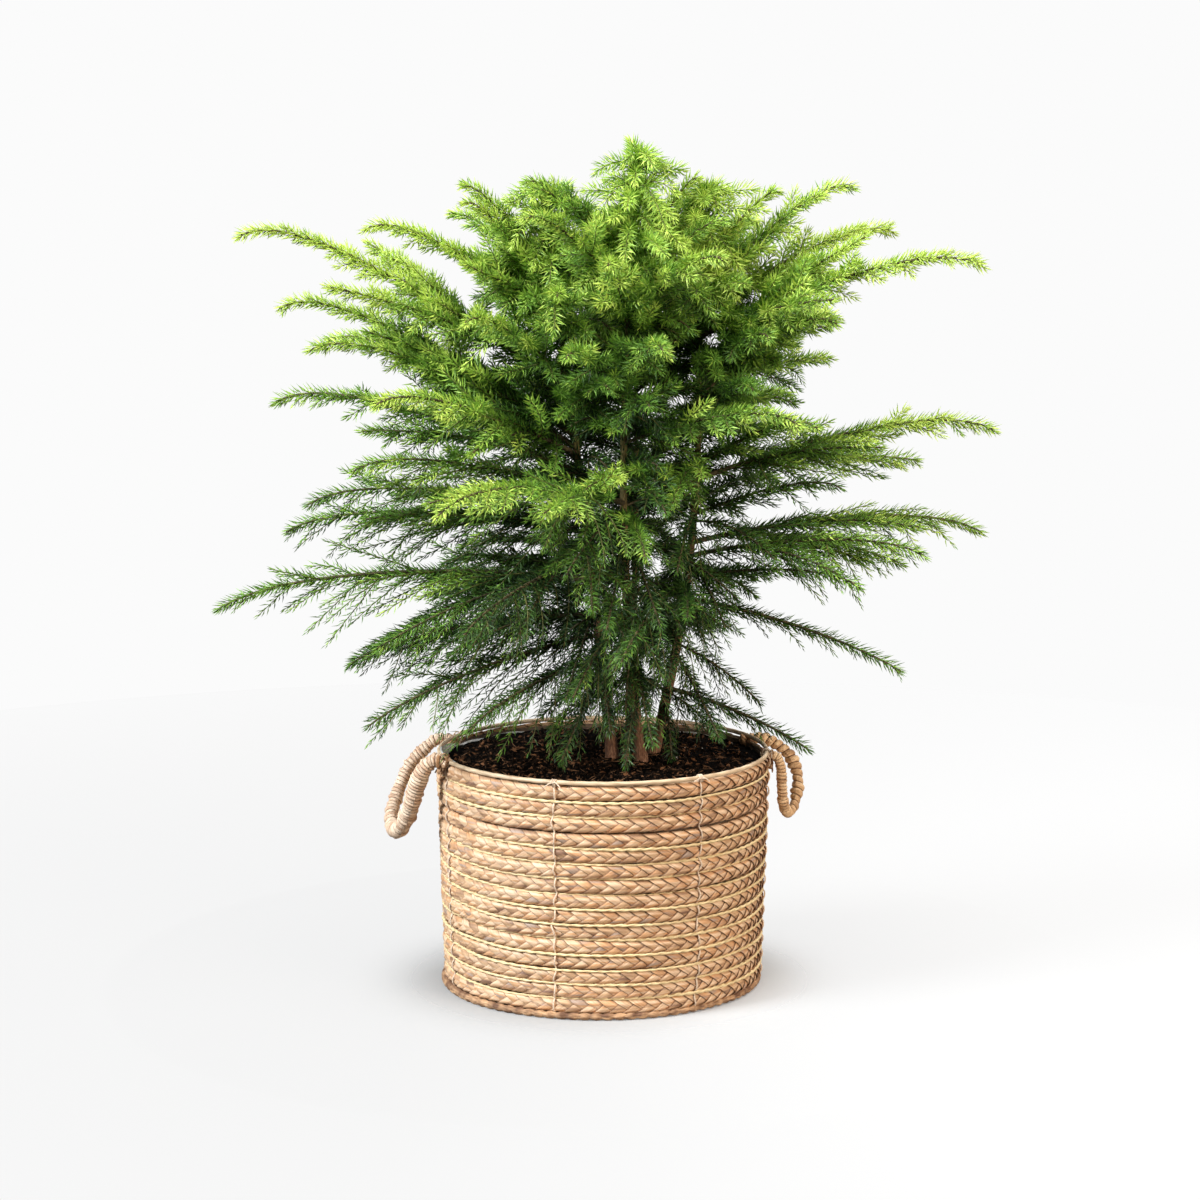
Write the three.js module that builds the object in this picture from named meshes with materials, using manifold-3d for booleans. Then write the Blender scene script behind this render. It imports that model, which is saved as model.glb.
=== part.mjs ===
// Norfolk Island pine in a braided basket.
//
// A clump of four slim trunks stands in potting soil, in a plastic liner, in a round basket of
// flat braids with a wire rim and two wrapped rope handles. Millimetres, +Z up. The origin is the
// centre of the basket's flat underside, +X is the right-hand handle and -Y the front.
import * as THREE from 'three';
import { mergeVertices } from 'three/addons/utils/BufferGeometryUtils.js';
import Module from 'manifold-3d';

const wasm = await Module();
wasm.setup();

// ---- Driving dimensions ----

const GAP = 0.3; // left between pieces that touch
const SEED = 7;

const BASKET_HEIGHT = 213;
const BASKET_FLOOR = 7;
const BASKET_TOP_RADIUS = 154; // over the braids
const BASKET_FOOT_RADIUS = 147;
const BRAID_ROWS = 15;
const BRAID_THICKNESS = 6.5;
const BRAID_VALLEY = 3; // how deep the groove between two rows is
const ROUND_SIDES = 28;

const RIM_RADIUS = 150;
const RIM_WIRE = 2; // radius of the wire ring
const LINER_WALL = 1.5;
const LINER_CLEAR = 1; // from the braids
const LINER_TOP = 216;

const SOIL_TOP = 208; // level round the trunks
const SOIL_EDGE = 203;
const SOIL_LEVEL_RADIUS = 85;

const ROPE_RADIUS = 6.5;
const ROPE_SIDES = 8;
const ROPE_STEPS = 24;
const HANDLE_POINTS = 10; // along the loop
const HANDLE_FOOT = 1.1; // how far a foot stands out before it turns, in rope radii
const HANDLE_STAND = 1.8; // how far the loop stands off the basket at its top, in rope radii
const HANDLE_PINCH = 0.16; // how much narrower the loop is at its bottom, as a share
// How the loop rounds off: sideways, outwards and downwards, as powers of the turn.
const HANDLE_ROUND = { sideways: 0.7, out: 1.5, down: 1.2 };
// Where each handle's feet are round the rim, how far the loop stands out and how far it hangs.
const HANDLES = {
  left: { back: 156, front: 202, out: 25, drop: 68 },
  right: { back: 30, front: -9, out: 12, drop: 50 },
};
const HANDLE_HEIGHT = 206; // middle of the rope where it leaves the top braid

// Foot [x, y], tip [x, y, z], how far the trunk bows to +X midway, and radius at the foot.
const TRUNKS = {
  left: { foot: [9, 0], tip: [-43, 0, 640], bow: 2, radius: 5.6 },
  middle: { foot: [35, -17], tip: [27, -20, 672], bow: -12, radius: 5.2 },
  right: { foot: [47, 22], tip: [83, 22, 644], bow: 18, radius: 5.4 },
  back: { foot: [22, -12], tip: [30, 58, 576], bow: 4, radius: 3.6 },
};
const TRUNK_TIP = 1.6; // radius
const ROOT_FLARE = 0.35; // how much wider the very foot is
const FLARE_HEIGHT = 0.05; // share of the trunk's height
const TRUNK_SIDES = 7;
const TRUNK_STEPS = 10;
const BOUGH_SIDES = 6;
const BOUGH_STEPS = 3;

// The boughs of each trunk: [height of the join, azimuth, reach, height of the tip].
// Azimuth 0 is +X and 90 the back.
const BOUGHS = {
  left: [
    [612, 184, 172, 692],
    [548, 180, 297, 684],
    [556, 238, 165, 618],
    [505, 172, 272, 617],
    [494, 156, 255, 580],
    [470, 168, 288, 528],
    [488, 215, 215, 545],
    [416, 176, 276, 414],
    [372, 187, 341, 352],
    [392, 238, 205, 352],
    [340, 200, 234, 309],
    [322, 210, 236, 260],
    [300, 232, 190, 262],
    [600, 108, 205, 676],
    [350, 132, 240, 340],
  ],
  middle: [
    [446, 237, 290, 466],
    [560, 282, 150, 596],
    [612, 305, 140, 672],
    [636, 225, 130, 706],
    [436, 276, 165, 420],
  ],
  right: [
    [632, 2, 143, 727],
    [612, 20, 195, 682],
    [592, 338, 268, 662],
    [566, 318, 160, 612],
    [545, 52, 220, 594],
    [462, 358, 272, 507],
    [476, 310, 160, 522],
    [404, 3, 268, 411],
    [392, 343, 220, 400],
    [352, 350, 200, 290],
    [372, 252, 200, 326],
    [268, 335, 140, 222],
  ],
  back: [
    [540, 88, 200, 606],
    [486, 128, 225, 534],
    [470, 50, 235, 518],
    [400, 92, 255, 408],
    [318, 68, 200, 300],
  ],
};

const MAIN_REACH = 260; // a bough that reaches this far has a bare limb of its own
const LIMB_SHARE = 0.26; // share of such a bough that is bare
const BOUGH_THICKNESS = 0.0115; // radius at the join for each mm of reach
const BOUGH_THINNEST = 2.4;
const ARCH = 0.22; // how much steeper than its chord a bough sets off
const RISE_AT = 0.33; // share of the reach where it stops rising so steeply
const SHOULDER_AT = 0.84; // share of the reach where it is highest over its tip
const DROOP = 0.11; // how far a bough comes over before its tip, for each mm of reach
const TWIG_TIP = 1.9; // radius
const PAIR_UNEVEN = 0.1; // how far a pair strays from even spacing, as a share
const TWIG_SIDES = 3;
const TWIG_STEPS = 3;

const PAIR_SPACING = 36; // from one pair of sprays to the next along a bough
const PAIRS_FROM = 0.9; // share of the twig where the outermost pair is
const PAIRS_TO = 0.06; // share where the innermost would be, were there one more
const SPRAY_SHARE = 0.4; // length of a spray at the foot of a mass, for each mm of reach
const SPRAY_SHRINK = 0.63; // how much shorter the sprays are at the tip, as a share
const SPRAY_LONGEST = 88;
const SPRAY_SHORTEST = 38;
const SPRAY_WIDTH = 27;
const SPRAY_WIDEST = 0.45; // width of a short spray, as a share of its length
const SPRAY_THICKNESS = 1.6;
const SPRAY_SPREAD = 52; // degrees from the bough
const SPRAY_SLANT = Math.tan((SPRAY_SPREAD * Math.PI) / 180);
const SPRAY_UNEVEN = 0.15; // how much two sprays of a pair may differ, as a share
// Corners of a spray from its back edge round its tip: share of its length and of its half width.
const SPRAY_CORNERS = [[0.46, -1], [1, 0], [0.66, 0.5], [0.5, 1]];
const SPRAY_SAG = 24; // degrees below it
const SAG_UNEVEN = 0.6; // how much that differs from bough to bough, as a share
const SPRAY_TWIST = 0.35; // slope that the sprays turn to at most, to and fro along the bough
const SPRAY_WAVES = 3;
const TIP_SPRAY = 46; // length of the spray at a bough's very tip
const TIP_SINK = 8; // how far it is sunk in the twig
const ROOT_WIDTH = 2; // half the width of a spray where it leaves the twig

const LEADER_HEIGHT = 70; // of the twig above a trunk's tip
const LEADER_SPRAY = 30; // above that
const LEADER_PAIRS = 5;
const LEADER_PAIR_LENGTH = 62;
const LEADER_SPREAD = 58;
const LEADER_TURN = 60; // degrees from one pair to the next

// ---- Small helpers ----

const radians = THREE.MathUtils.degToRad;
const UP = new THREE.Vector3(0, 0, 1);
const NORTH = new THREE.Vector3(0, 1, 0);

/** A repeatable random number in [0, 1) on each call. */
function seededRandom(seed) {
  let state = seed;
  return () => {
    state = (state + 0x6d2b79f5) | 0;
    let mixed = Math.imul(state ^ (state >>> 15), 1 | state);
    mixed = (mixed + Math.imul(mixed ^ (mixed >>> 7), 61 | mixed)) ^ mixed;
    return ((mixed ^ (mixed >>> 14)) >>> 0) / 4294967296;
  };
}

/** The geometry with shared corners and nothing but positions. */
function bare(geometry) {
  geometry.deleteAttribute('normal');
  geometry.deleteAttribute('uv');
  return mergeVertices(geometry, 1e-4);
}

function toSolid(geometry) {
  const merged = bare(geometry);
  const vertProperties = new Float32Array(merged.attributes.position.array);
  const triVerts = new Uint32Array(merged.index.array);
  return new wasm.Manifold(new wasm.Mesh({ numProp: 3, vertProperties, triVerts }));
}

function toGeometry(solid) {
  const mesh = solid.getMesh();
  const geometry = new THREE.BufferGeometry();
  geometry.setAttribute('position', new THREE.BufferAttribute(mesh.vertProperties, 3));
  geometry.setIndex(new THREE.BufferAttribute(mesh.triVerts, 1));
  return geometry;
}

/** A closed ring or dish: the outline of [radius, height] pairs turned about +Z. */
function turned(outline) {
  const points = outline.map(([radius, height]) => new THREE.Vector2(radius, height));
  const geometry = new THREE.LatheGeometry([...points, points[0].clone()], ROUND_SIDES);
  geometry.rotateX(Math.PI / 2);
  return bare(geometry);
}

/** A level direction across a line. */
function levelAcross(along) {
  const across = new THREE.Vector3().crossVectors(UP, along);
  return across.length() < 0.2 ? NORTH.clone() : across.normalize();
}

/** A tapering limb along a curve. Level rings give it a flat cut at the foot. */
function limb(curve, radiusAt, sides, steps, level = false) {
  const geometry = new THREE.CylinderGeometry(1, 1, 1, sides, steps);
  geometry.translate(0, 0.5, 0);
  const position = geometry.attributes.position;
  for (let i = 0; i < position.count; i += 1) {
    const step = Math.round(position.getY(i) * steps);
    const radius = radiusAt(step / steps);
    const along = level ? UP : curve.getTangentAt(step / steps);
    const across = levelAcross(along);
    const lift = new THREE.Vector3().crossVectors(along, across);
    const corner = curve.getPointAt(step / steps);
    corner.addScaledVector(across, -position.getX(i) * radius);
    corner.addScaledVector(lift, position.getZ(i) * radius);
    position.setXYZ(i, corner.x, corner.y, corner.z);
  }
  return bare(geometry);
}

/** The part of a curve between two shares of its length. */
function stretch(curve, from, to, pieces = 8) {
  const points = [];
  for (let i = 0; i <= pieces; i += 1) {
    points.push(curve.getPointAt(from + ((to - from) * i) / pieces));
  }
  return new THREE.CatmullRomCurve3(points);
}

// ---- Materials ----

const finish = (color, roughness, metalness = 0) =>
  new THREE.MeshStandardMaterial({ color, roughness, metalness });

const FINISHES = {
  braid: finish(0xc9a67c, 0.8),
  rope: finish(0xd2b184, 0.8),
  rim: finish(0xc8ab86, 0.6),
  liner: finish(0x8b8c88, 0.35),
  soil: finish(0x20150e, 0.95),
  bark: finish(0x6f4b33, 0.9),
  needles: finish(0x4f8a35, 0.6),
};

const plant = new THREE.Group();

function add(name, geometry, material) {
  const mesh = new THREE.Mesh(geometry, material.clone());
  mesh.name = name;
  plant.add(mesh);
}

// ---- Basket, liner and soil ----

const braidRadius = (height) =>
  THREE.MathUtils.lerp(BASKET_FOOT_RADIUS, BASKET_TOP_RADIUS, height / BASKET_HEIGHT);

function basketOutline() {
  const inside = (height) => braidRadius(height) - BRAID_THICKNESS;
  const rowHeight = BASKET_HEIGHT / BRAID_ROWS;
  const outline = [[0, 0]];
  for (let row = 0; row < BRAID_ROWS; row += 1) {
    const foot = row * rowHeight;
    const crest = foot + rowHeight / 2;
    outline.push([braidRadius(foot) - BRAID_VALLEY, foot]);
    outline.push([braidRadius(crest), crest]);
  }
  outline.push([braidRadius(BASKET_HEIGHT) - BRAID_VALLEY, BASKET_HEIGHT]);
  outline.push([inside(BASKET_HEIGHT), BASKET_HEIGHT]);
  outline.push([inside(BASKET_FLOOR), BASKET_FLOOR]);
  outline.push([0, BASKET_FLOOR]);
  return outline;
}

const linerOutside = (height) => braidRadius(height) - BRAID_THICKNESS - LINER_CLEAR;
const linerInside = (height) => linerOutside(height) - LINER_WALL;

function addBasket() {
  add('basket', turned(basketOutline()), FINISHES.braid);

  const ring = new THREE.TorusGeometry(RIM_RADIUS, RIM_WIRE, 6, ROUND_SIDES);
  ring.translate(0, 0, BASKET_HEIGHT + RIM_WIRE + GAP);
  add('rim_wire', bare(ring), FINISHES.rim);

  const foot = BASKET_FLOOR + GAP;
  add('liner', turned([
    [0, foot],
    [linerOutside(foot), foot],
    [linerOutside(LINER_TOP), LINER_TOP],
    [linerInside(LINER_TOP), LINER_TOP],
    [linerInside(foot + LINER_WALL), foot + LINER_WALL],
    [0, foot + LINER_WALL],
  ]), FINISHES.liner);

  const bottom = foot + LINER_WALL + GAP;
  add('soil', turned([
    [0, bottom],
    [linerInside(bottom) - GAP, bottom],
    [linerInside(SOIL_EDGE) - GAP, SOIL_EDGE],
    [SOIL_LEVEL_RADIUS, SOIL_TOP],
    [0, SOIL_TOP],
  ]), FINISHES.soil);
}

// ---- Handles ----

/** How far out a rope's cut end clears the basket's flats at an angle. */
function clearOfWall(angle) {
  const half = Math.PI / ROUND_SIDES;
  const offCentre = THREE.MathUtils.euclideanModulo(angle, 2 * half) - half;
  const flat = (braidRadius(HANDLE_HEIGHT) * Math.cos(half)) / Math.cos(offCentre);
  return flat + ROPE_RADIUS * Math.abs(Math.sin(offCentre)) + GAP * 1.5;
}

/** The loop's middle line: out from the top braid, down, round the bottom and back. */
function handleCurve({ back, front, out, drop }) {
  const middle = radians((back + front) / 2);
  const half = radians((back - front) / 2);
  const wall = braidRadius(HANDLE_HEIGHT);
  const at = (radius, angle, height) =>
    new THREE.Vector3(radius * Math.cos(angle), radius * Math.sin(angle), height);
  const foot = (angle) => [
    at(clearOfWall(angle), angle, HANDLE_HEIGHT),
    at(clearOfWall(angle) + ROPE_RADIUS * HANDLE_FOOT, angle, HANDLE_HEIGHT),
  ];
  const loop = [];
  for (let i = 1; i < HANDLE_POINTS; i += 1) {
    const turn = (Math.PI * i) / HANDLE_POINTS;
    const sink = Math.sin(turn);
    const side = Math.sign(Math.cos(turn));
    const sideways = side * Math.abs(Math.cos(turn)) ** HANDLE_ROUND.sideways;
    const angle = middle + half * sideways * (1 - HANDLE_PINCH * sink);
    const radius = wall + ROPE_RADIUS * HANDLE_STAND + out * sink ** HANDLE_ROUND.out;
    loop.push(at(radius, angle, HANDLE_HEIGHT - drop * sink ** HANDLE_ROUND.down));
  }
  return new THREE.CatmullRomCurve3([
    ...foot(middle + half),
    ...loop,
    ...foot(middle - half).reverse(),
  ]);
}

function addHandles() {
  const section = new THREE.Shape();
  for (let side = 0; side < ROPE_SIDES; side += 1) {
    const angle = (2 * Math.PI * side) / ROPE_SIDES;
    const corner = [ROPE_RADIUS * Math.cos(angle), ROPE_RADIUS * Math.sin(angle)];
    if (side === 0) section.moveTo(...corner);
    else section.lineTo(...corner);
  }
  section.closePath();
  for (const [side, sizes] of Object.entries(HANDLES)) {
    const extrudePath = handleCurve(sizes);
    const rope = new THREE.ExtrudeGeometry(section, { steps: ROPE_STEPS, extrudePath });
    add(`handle_${side}`, bare(rope), FINISHES.rope);
  }
}

// ---- Trunks and boughs ----

function trunkCurve({ foot, tip, bow }) {
  const bottom = new THREE.Vector3(foot[0], foot[1], SOIL_TOP + GAP);
  const top = new THREE.Vector3(...tip);
  const points = [];
  for (let i = 0; i <= TRUNK_STEPS; i += 1) {
    const share = i / TRUNK_STEPS;
    const point = bottom.clone().lerp(top, share);
    point.x += bow * 4 * share * (1 - share);
    points.push(point);
  }
  return new THREE.CatmullRomCurve3(points);
}

function trunkRadius(trunk, share) {
  const taper = THREE.MathUtils.lerp(trunk.radius, TRUNK_TIP, share);
  const flare = Math.max(0, 1 - share / FLARE_HEIGHT) * ROOT_FLARE;
  return taper * (1 + flare);
}

/** Share of the trunk's length at a height: the trunks are close to upright. */
function shareAt(trunk, height) {
  return (height - SOIL_TOP) / (trunk.tip[2] - SOIL_TOP);
}

/** The bough's middle line: up and away from the trunk, over, and down to its tip. */
function boughCurve(trunk, curve, [height, azimuth, reach, tipHeight]) {
  const share = shareAt(trunk, height);
  const root = curve.getPointAt(share);
  const away = new THREE.Vector3(Math.cos(radians(azimuth)), Math.sin(radians(azimuth)), 0);
  const slope = (tipHeight - height) / reach + ARCH;
  const cutEdge = boughRadius(reach, 0) * Math.abs(Math.sin(Math.atan(slope)));
  const clear = trunkRadius(trunk, share) + cutEdge + GAP * 1.5;
  const run = reach - clear;
  const at = (part, level) => root.clone().addScaledVector(away, clear + run * part).setZ(level);
  return new THREE.CubicBezierCurve3(
    at(0, height),
    at(RISE_AT, height + run * RISE_AT * slope),
    at(SHOULDER_AT, tipHeight + reach * DROOP),
    at(1, tipHeight),
  );
}

const boughRadius = (reach, share) =>
  THREE.MathUtils.lerp(Math.max(reach * BOUGH_THICKNESS, BOUGH_THINNEST), TWIG_TIP, share);

// ---- What is already taken up: spheres that cover each placed piece ----

const CELL = 10;
const SPRAY_GRID = 4.5; // spacing of the spheres over a spray
const SPRAY_COVER = SPRAY_GRID * 0.6; // their radius
const LIMB_GRID = 3; // spacing of the spheres along a limb
const LIMB_COVER = 0.5; // by how much they are wider than the limb
const CLEAR = 0.8; // left between the spheres of two masses
const taken = new Map();

/** The keys of the cell that holds a point and of all the cells round it. */
function cellsRound(point) {
  const [x, y, z] = point.toArray().map((value) => Math.round(value / CELL));
  const near = [-1, 0, 1];
  return near.flatMap((i) => near.flatMap((j) => near.map((k) => `${x + i},${y + j},${z + k}`)));
}

function take(owner, points, radius) {
  for (const point of points) {
    const key = point.toArray().map((value) => Math.round(value / CELL)).join();
    if (!taken.has(key)) taken.set(key, []);
    taken.get(key).push({ owner, point, radius });
  }
}

function isFree(owner, points, radius) {
  const touches = (point, other) =>
    other.owner !== owner && other.point.distanceTo(point) < other.radius + radius + CLEAR;
  return points.every((point) =>
    cellsRound(point).every((key) => !(taken.get(key) ?? []).some((other) => touches(point, other))));
}

function takeLimb(owner, curve, radiusAt) {
  const count = Math.ceil(curve.getLength() / LIMB_GRID);
  for (let i = 0; i <= count; i += 1) {
    take(owner, [curve.getPointAt(i / count)], radiusAt(i / count) + LIMB_COVER);
  }
}

// ---- Foliage ----
//
// A mass is made lying flat, its twig along +X and its sprays in the level plane, where the joins
// come out clean. Then it is bent along its bough.

const random = seededRandom(SEED);
const vary = (size) => 1 + (random() - 0.5) * 2 * size;
const sprayWidth = (length) => Math.min(SPRAY_WIDTH, length * SPRAY_WIDEST);

/** An arm from its back edge round its tip: a tooth, the tip, a notch and a tooth. */
function armOutline({ side, length, spread }) {
  const half = sprayWidth(length) / 2;
  const along = new THREE.Vector2(Math.cos(spread), side * Math.sin(spread));
  const lead = new THREE.Vector2(Math.sin(spread), -side * Math.cos(spread));
  const place = ([share, out]) =>
    along.clone().multiplyScalar(length * share).addScaledVector(lead, half * out);
  return SPRAY_CORNERS.map(place);
}

/** Where a blade's front (1) or back (-1) edge meets the middle of the twig. */
function rootCorner({ side, spread }, edge) {
  if (spread === 0) return new THREE.Vector2(0, -edge * side * ROOT_WIDTH);
  return new THREE.Vector2((edge * ROOT_WIDTH) / Math.sin(spread), 0);
}

/** Sprays of needles as one toothed blade, its middle sunk in the twig and an arm on each side. */
function sprayBlade({ place, roll, arms }) {
  const [first] = arms;
  const behind = rootCorner(first, -1);
  const ahead = rootCorner(first, 1);
  const outline = arms.flatMap((arm) =>
    arm.side < 0 ? [...armOutline(arm), ahead] : armOutline(arm).reverse());
  if (first.side > 0) outline.unshift(ahead);
  const shape = new THREE.Shape([behind, ...outline]);
  const blade = new THREE.ExtrudeGeometry(shape, { depth: SPRAY_THICKNESS, bevelEnabled: false });
  blade.translate(0, 0, -SPRAY_THICKNESS / 2);
  if (roll) blade.rotateX(roll);
  blade.translate(place, 0, 0);
  return blade;
}

/** Points over one arm of a flat mass, for the spheres that cover it. */
function armCover({ place, roll }, { side, length, spread }) {
  const points = [];
  const along = Math.ceil(length / SPRAY_GRID);
  const across = Math.ceil(sprayWidth(length) / SPRAY_GRID);
  const turn = new THREE.Matrix4().makeRotationX(roll).setPosition(place, 0, 0);
  for (let i = 1; i <= along; i += 1) {
    for (let j = 0; j <= across; j += 1) {
      const share = i / along;
      const swell = Math.min(share / SPRAY_CORNERS[0][0], 2 * (1 - share), 1);
      const out = sprayWidth(length) * (j / across - 0.5) * swell;
      const x = Math.cos(spread) * length * share + Math.sin(spread) * out;
      const y = side * (Math.sin(spread) * length * share - Math.cos(spread) * out);
      points.push(new THREE.Vector3(x, y, 0).applyMatrix4(turn));
    }
  }
  return points;
}

/** One mass of foliage: a three-sided twig and the sprays fused on it. */
class Mass {
  constructor(name, curve, radiusAt, sag) {
    this.name = name;
    this.curve = curve;
    this.length = curve.getLength();
    this.sag = sag;
    this.twist = SPRAY_TWIST * (random() - 0.5) * 2;
    const along = new THREE.LineCurve3(new THREE.Vector3(), new THREE.Vector3(this.length, 0, 0));
    this.solids = [toSolid(limb(along, radiusAt, TWIG_SIDES, TWIG_STEPS))];
    this.planned = [];
    takeLimb(name, curve, radiusAt);
  }

  /**
   * From its place in the flat mass to its place on the bough. A point goes with the station where
   * its spray leaves the twig, so that every spray stays straight and flat.
   */
  bend(point) {
    const station = point.x - Math.abs(point.y) / SPRAY_SLANT;
    const share = THREE.MathUtils.clamp(station / this.length, 0, 1);
    const along = this.curve.getTangentAt(share);
    const across = levelAcross(along);
    const lift = new THREE.Vector3().crossVectors(along, across);
    const turn = Math.sin(share * SPRAY_WAVES * Math.PI) * this.twist;
    const height = point.z - Math.abs(point.y) * this.sag + point.y * turn;
    return this.curve.getPointAt(share)
      .addScaledVector(along, point.x - share * this.length)
      .addScaledVector(across, point.y)
      .addScaledVector(lift, height);
  }

  /** A pair of sprays at a share of the twig, one on each side. */
  planPair(share, length, spread, roll = 0) {
    const arms = [-1, 1].map((side) => ({
      side,
      length: length * vary(SPRAY_UNEVEN),
      spread: radians(spread * vary(SPRAY_UNEVEN)),
    }));
    this.planned.push({ place: share * this.length, roll, arms });
  }

  /** The spray that carries the twig on to the very tip. */
  planTip(length) {
    const arms = [{ side: 1, length, spread: 0 }];
    this.planned.push({ place: this.length - TIP_SINK, roll: 0, arms });
  }

  /** Fuses the next planned blade on, without the arms that would touch a neighbour. */
  grow() {
    const spray = this.planned.shift();
    const arms = spray.arms.filter((arm) => {
      const cover = armCover(spray, arm).map((point) => this.bend(point));
      const free = isFree(this.name, cover, SPRAY_COVER);
      if (free) take(this.name, cover, SPRAY_COVER);
      return free;
    });
    if (arms.length) this.solids.push(toSolid(sprayBlade({ ...spray, arms })));
  }

  finish() {
    const geometry = toGeometry(this.solids.reduce((joined, next) => joined.add(next)));
    const position = geometry.attributes.position;
    for (let i = 0; i < position.count; i += 1) {
      const bent = this.bend(new THREE.Vector3().fromBufferAttribute(position, i));
      position.setXYZ(i, bent.x, bent.y, bent.z);
    }
    add(this.name, geometry, FINISHES.needles);
  }
}

/** The spray at the tip, then pairs from the tip back to the foot of the mass. */
function planBoughSprays(mass, reach) {
  mass.planTip(TIP_SPRAY);
  const pairs = Math.max(2, Math.round(mass.length / PAIR_SPACING));
  const step = (PAIRS_FROM - PAIRS_TO) / pairs;
  for (let pair = 0; pair < pairs; pair += 1) {
    const share = PAIRS_FROM - step * (pair + vary(PAIR_UNEVEN) - 1);
    const wanted = reach * SPRAY_SHARE * (1 - SPRAY_SHRINK * share);
    mass.planPair(share, THREE.MathUtils.clamp(wanted, SPRAY_SHORTEST, SPRAY_LONGEST), SPRAY_SPREAD);
  }
}

/** Pairs of sprays round a leader, each turned on from the one above it. */
function planLeaderSprays(mass) {
  mass.planTip(LEADER_SPRAY);
  const step = (PAIRS_FROM - PAIRS_TO) / LEADER_PAIRS;
  for (let pair = 0; pair < LEADER_PAIRS; pair += 1) {
    const roll = radians(LEADER_TURN * pair);
    mass.planPair(PAIRS_FROM - step * pair, LEADER_PAIR_LENGTH, LEADER_SPREAD, roll);
  }
}

function addPlant() {
  const masses = [];
  const curves = {};
  for (const [side, trunk] of Object.entries(TRUNKS)) {
    const curve = trunkCurve(trunk);
    const radiusAt = (share) => trunkRadius(trunk, share);
    curves[side] = curve;
    add(`trunk_${side}`, limb(curve, radiusAt, TRUNK_SIDES, TRUNK_STEPS, true), FINISHES.bark);
    takeLimb(`trunk_${side}`, curve, radiusAt);

    const foot = curve.getPointAt(1);
    foot.z += GAP;
    const top = foot.clone().addScaledVector(curve.getTangentAt(1), LEADER_HEIGHT);
    const leader = new THREE.LineCurve3(foot, top);
    const mass = new Mass(`foliage_${side}_top`, leader, () => TWIG_TIP, 0);
    planLeaderSprays(mass);
    masses.push(mass);
  }

  for (const [side, rows] of Object.entries(BOUGHS)) {
    rows.forEach((row, index) => {
      const reach = row[2];
      const curve = boughCurve(TRUNKS[side], curves[side], row);
      const number = index + 1;
      const bareShare = reach >= MAIN_REACH ? LIMB_SHARE : 0;
      if (bareShare) {
        const name = `bough_${side}_${number}`;
        const part = stretch(curve, 0, bareShare, BOUGH_STEPS);
        const radiusAt = (share) => boughRadius(reach, share * bareShare);
        add(name, limb(part, radiusAt, BOUGH_SIDES, BOUGH_STEPS), FINISHES.bark);
        takeLimb(name, part, radiusAt);
      }
      const start = bareShare ? bareShare + GAP / curve.getLength() : 0;
      const twig = stretch(curve, start, 1 - (TIP_SPRAY - TIP_SINK) / curve.getLength());
      const radiusAt = (share) => boughRadius(reach, start + share * (1 - start));
      const sag = Math.tan(radians(SPRAY_SAG * vary(SAG_UNEVEN)));
      const mass = new Mass(`foliage_${side}_${number}`, twig, radiusAt, sag);
      planBoughSprays(mass, reach);
      masses.push(mass);
    });
  }

  while (masses.some((mass) => mass.planned.length)) {
    for (const mass of masses) if (mass.planned.length) mass.grow();
  }
  for (const mass of masses) mass.finish();
}

addBasket();
addHandles();
addPlant();

export default plant;
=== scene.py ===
# %% [markdown]
# # A Norfolk Island pine in a braided basket
#
# The construction comes in finished, as one fixed model: a basket, a liner, soil, two rope
# handles, four slim trunks, and a plain solid for each bough and each mass of foliage. This
# lesson gives every part of it the look of the real thing. Lengths in the tables are in
# millimetres, because that is how a basket or a twig is measured, and each mesh is turned into
# metres as it is made.

import math

import bmesh
import bpy
import numpy as np
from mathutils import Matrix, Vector, noise


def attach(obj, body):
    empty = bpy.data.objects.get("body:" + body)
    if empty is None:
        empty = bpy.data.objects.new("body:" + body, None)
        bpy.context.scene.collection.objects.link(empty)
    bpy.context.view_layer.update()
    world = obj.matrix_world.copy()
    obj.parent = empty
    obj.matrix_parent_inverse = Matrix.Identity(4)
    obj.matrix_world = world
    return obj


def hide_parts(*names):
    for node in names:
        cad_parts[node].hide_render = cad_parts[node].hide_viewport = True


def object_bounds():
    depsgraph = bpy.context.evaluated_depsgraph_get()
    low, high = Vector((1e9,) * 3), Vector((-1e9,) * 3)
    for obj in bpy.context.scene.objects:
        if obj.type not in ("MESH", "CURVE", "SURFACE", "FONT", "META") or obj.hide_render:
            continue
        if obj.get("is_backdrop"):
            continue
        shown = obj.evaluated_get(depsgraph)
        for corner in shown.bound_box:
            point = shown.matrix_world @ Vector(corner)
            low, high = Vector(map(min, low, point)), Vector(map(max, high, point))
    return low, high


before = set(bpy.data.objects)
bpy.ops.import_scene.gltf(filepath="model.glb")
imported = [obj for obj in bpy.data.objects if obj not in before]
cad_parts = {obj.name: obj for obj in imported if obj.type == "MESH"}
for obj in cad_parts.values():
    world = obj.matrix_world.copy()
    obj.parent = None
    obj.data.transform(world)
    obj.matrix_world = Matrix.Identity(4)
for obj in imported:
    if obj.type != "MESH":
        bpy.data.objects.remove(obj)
model_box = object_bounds()
MM = 0.001
print("nodes:", len(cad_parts))

# %% [markdown]
# ## Finishes as expressions
#
# A finish could be wired up node by node, but shader maths reads better as Python. `Value` wraps
# one socket so that `1 - mask * 0.5` adds the Math nodes for it. `Finish.add` makes any other
# node: its settings first, then what its sockets hold or are linked to.


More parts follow.
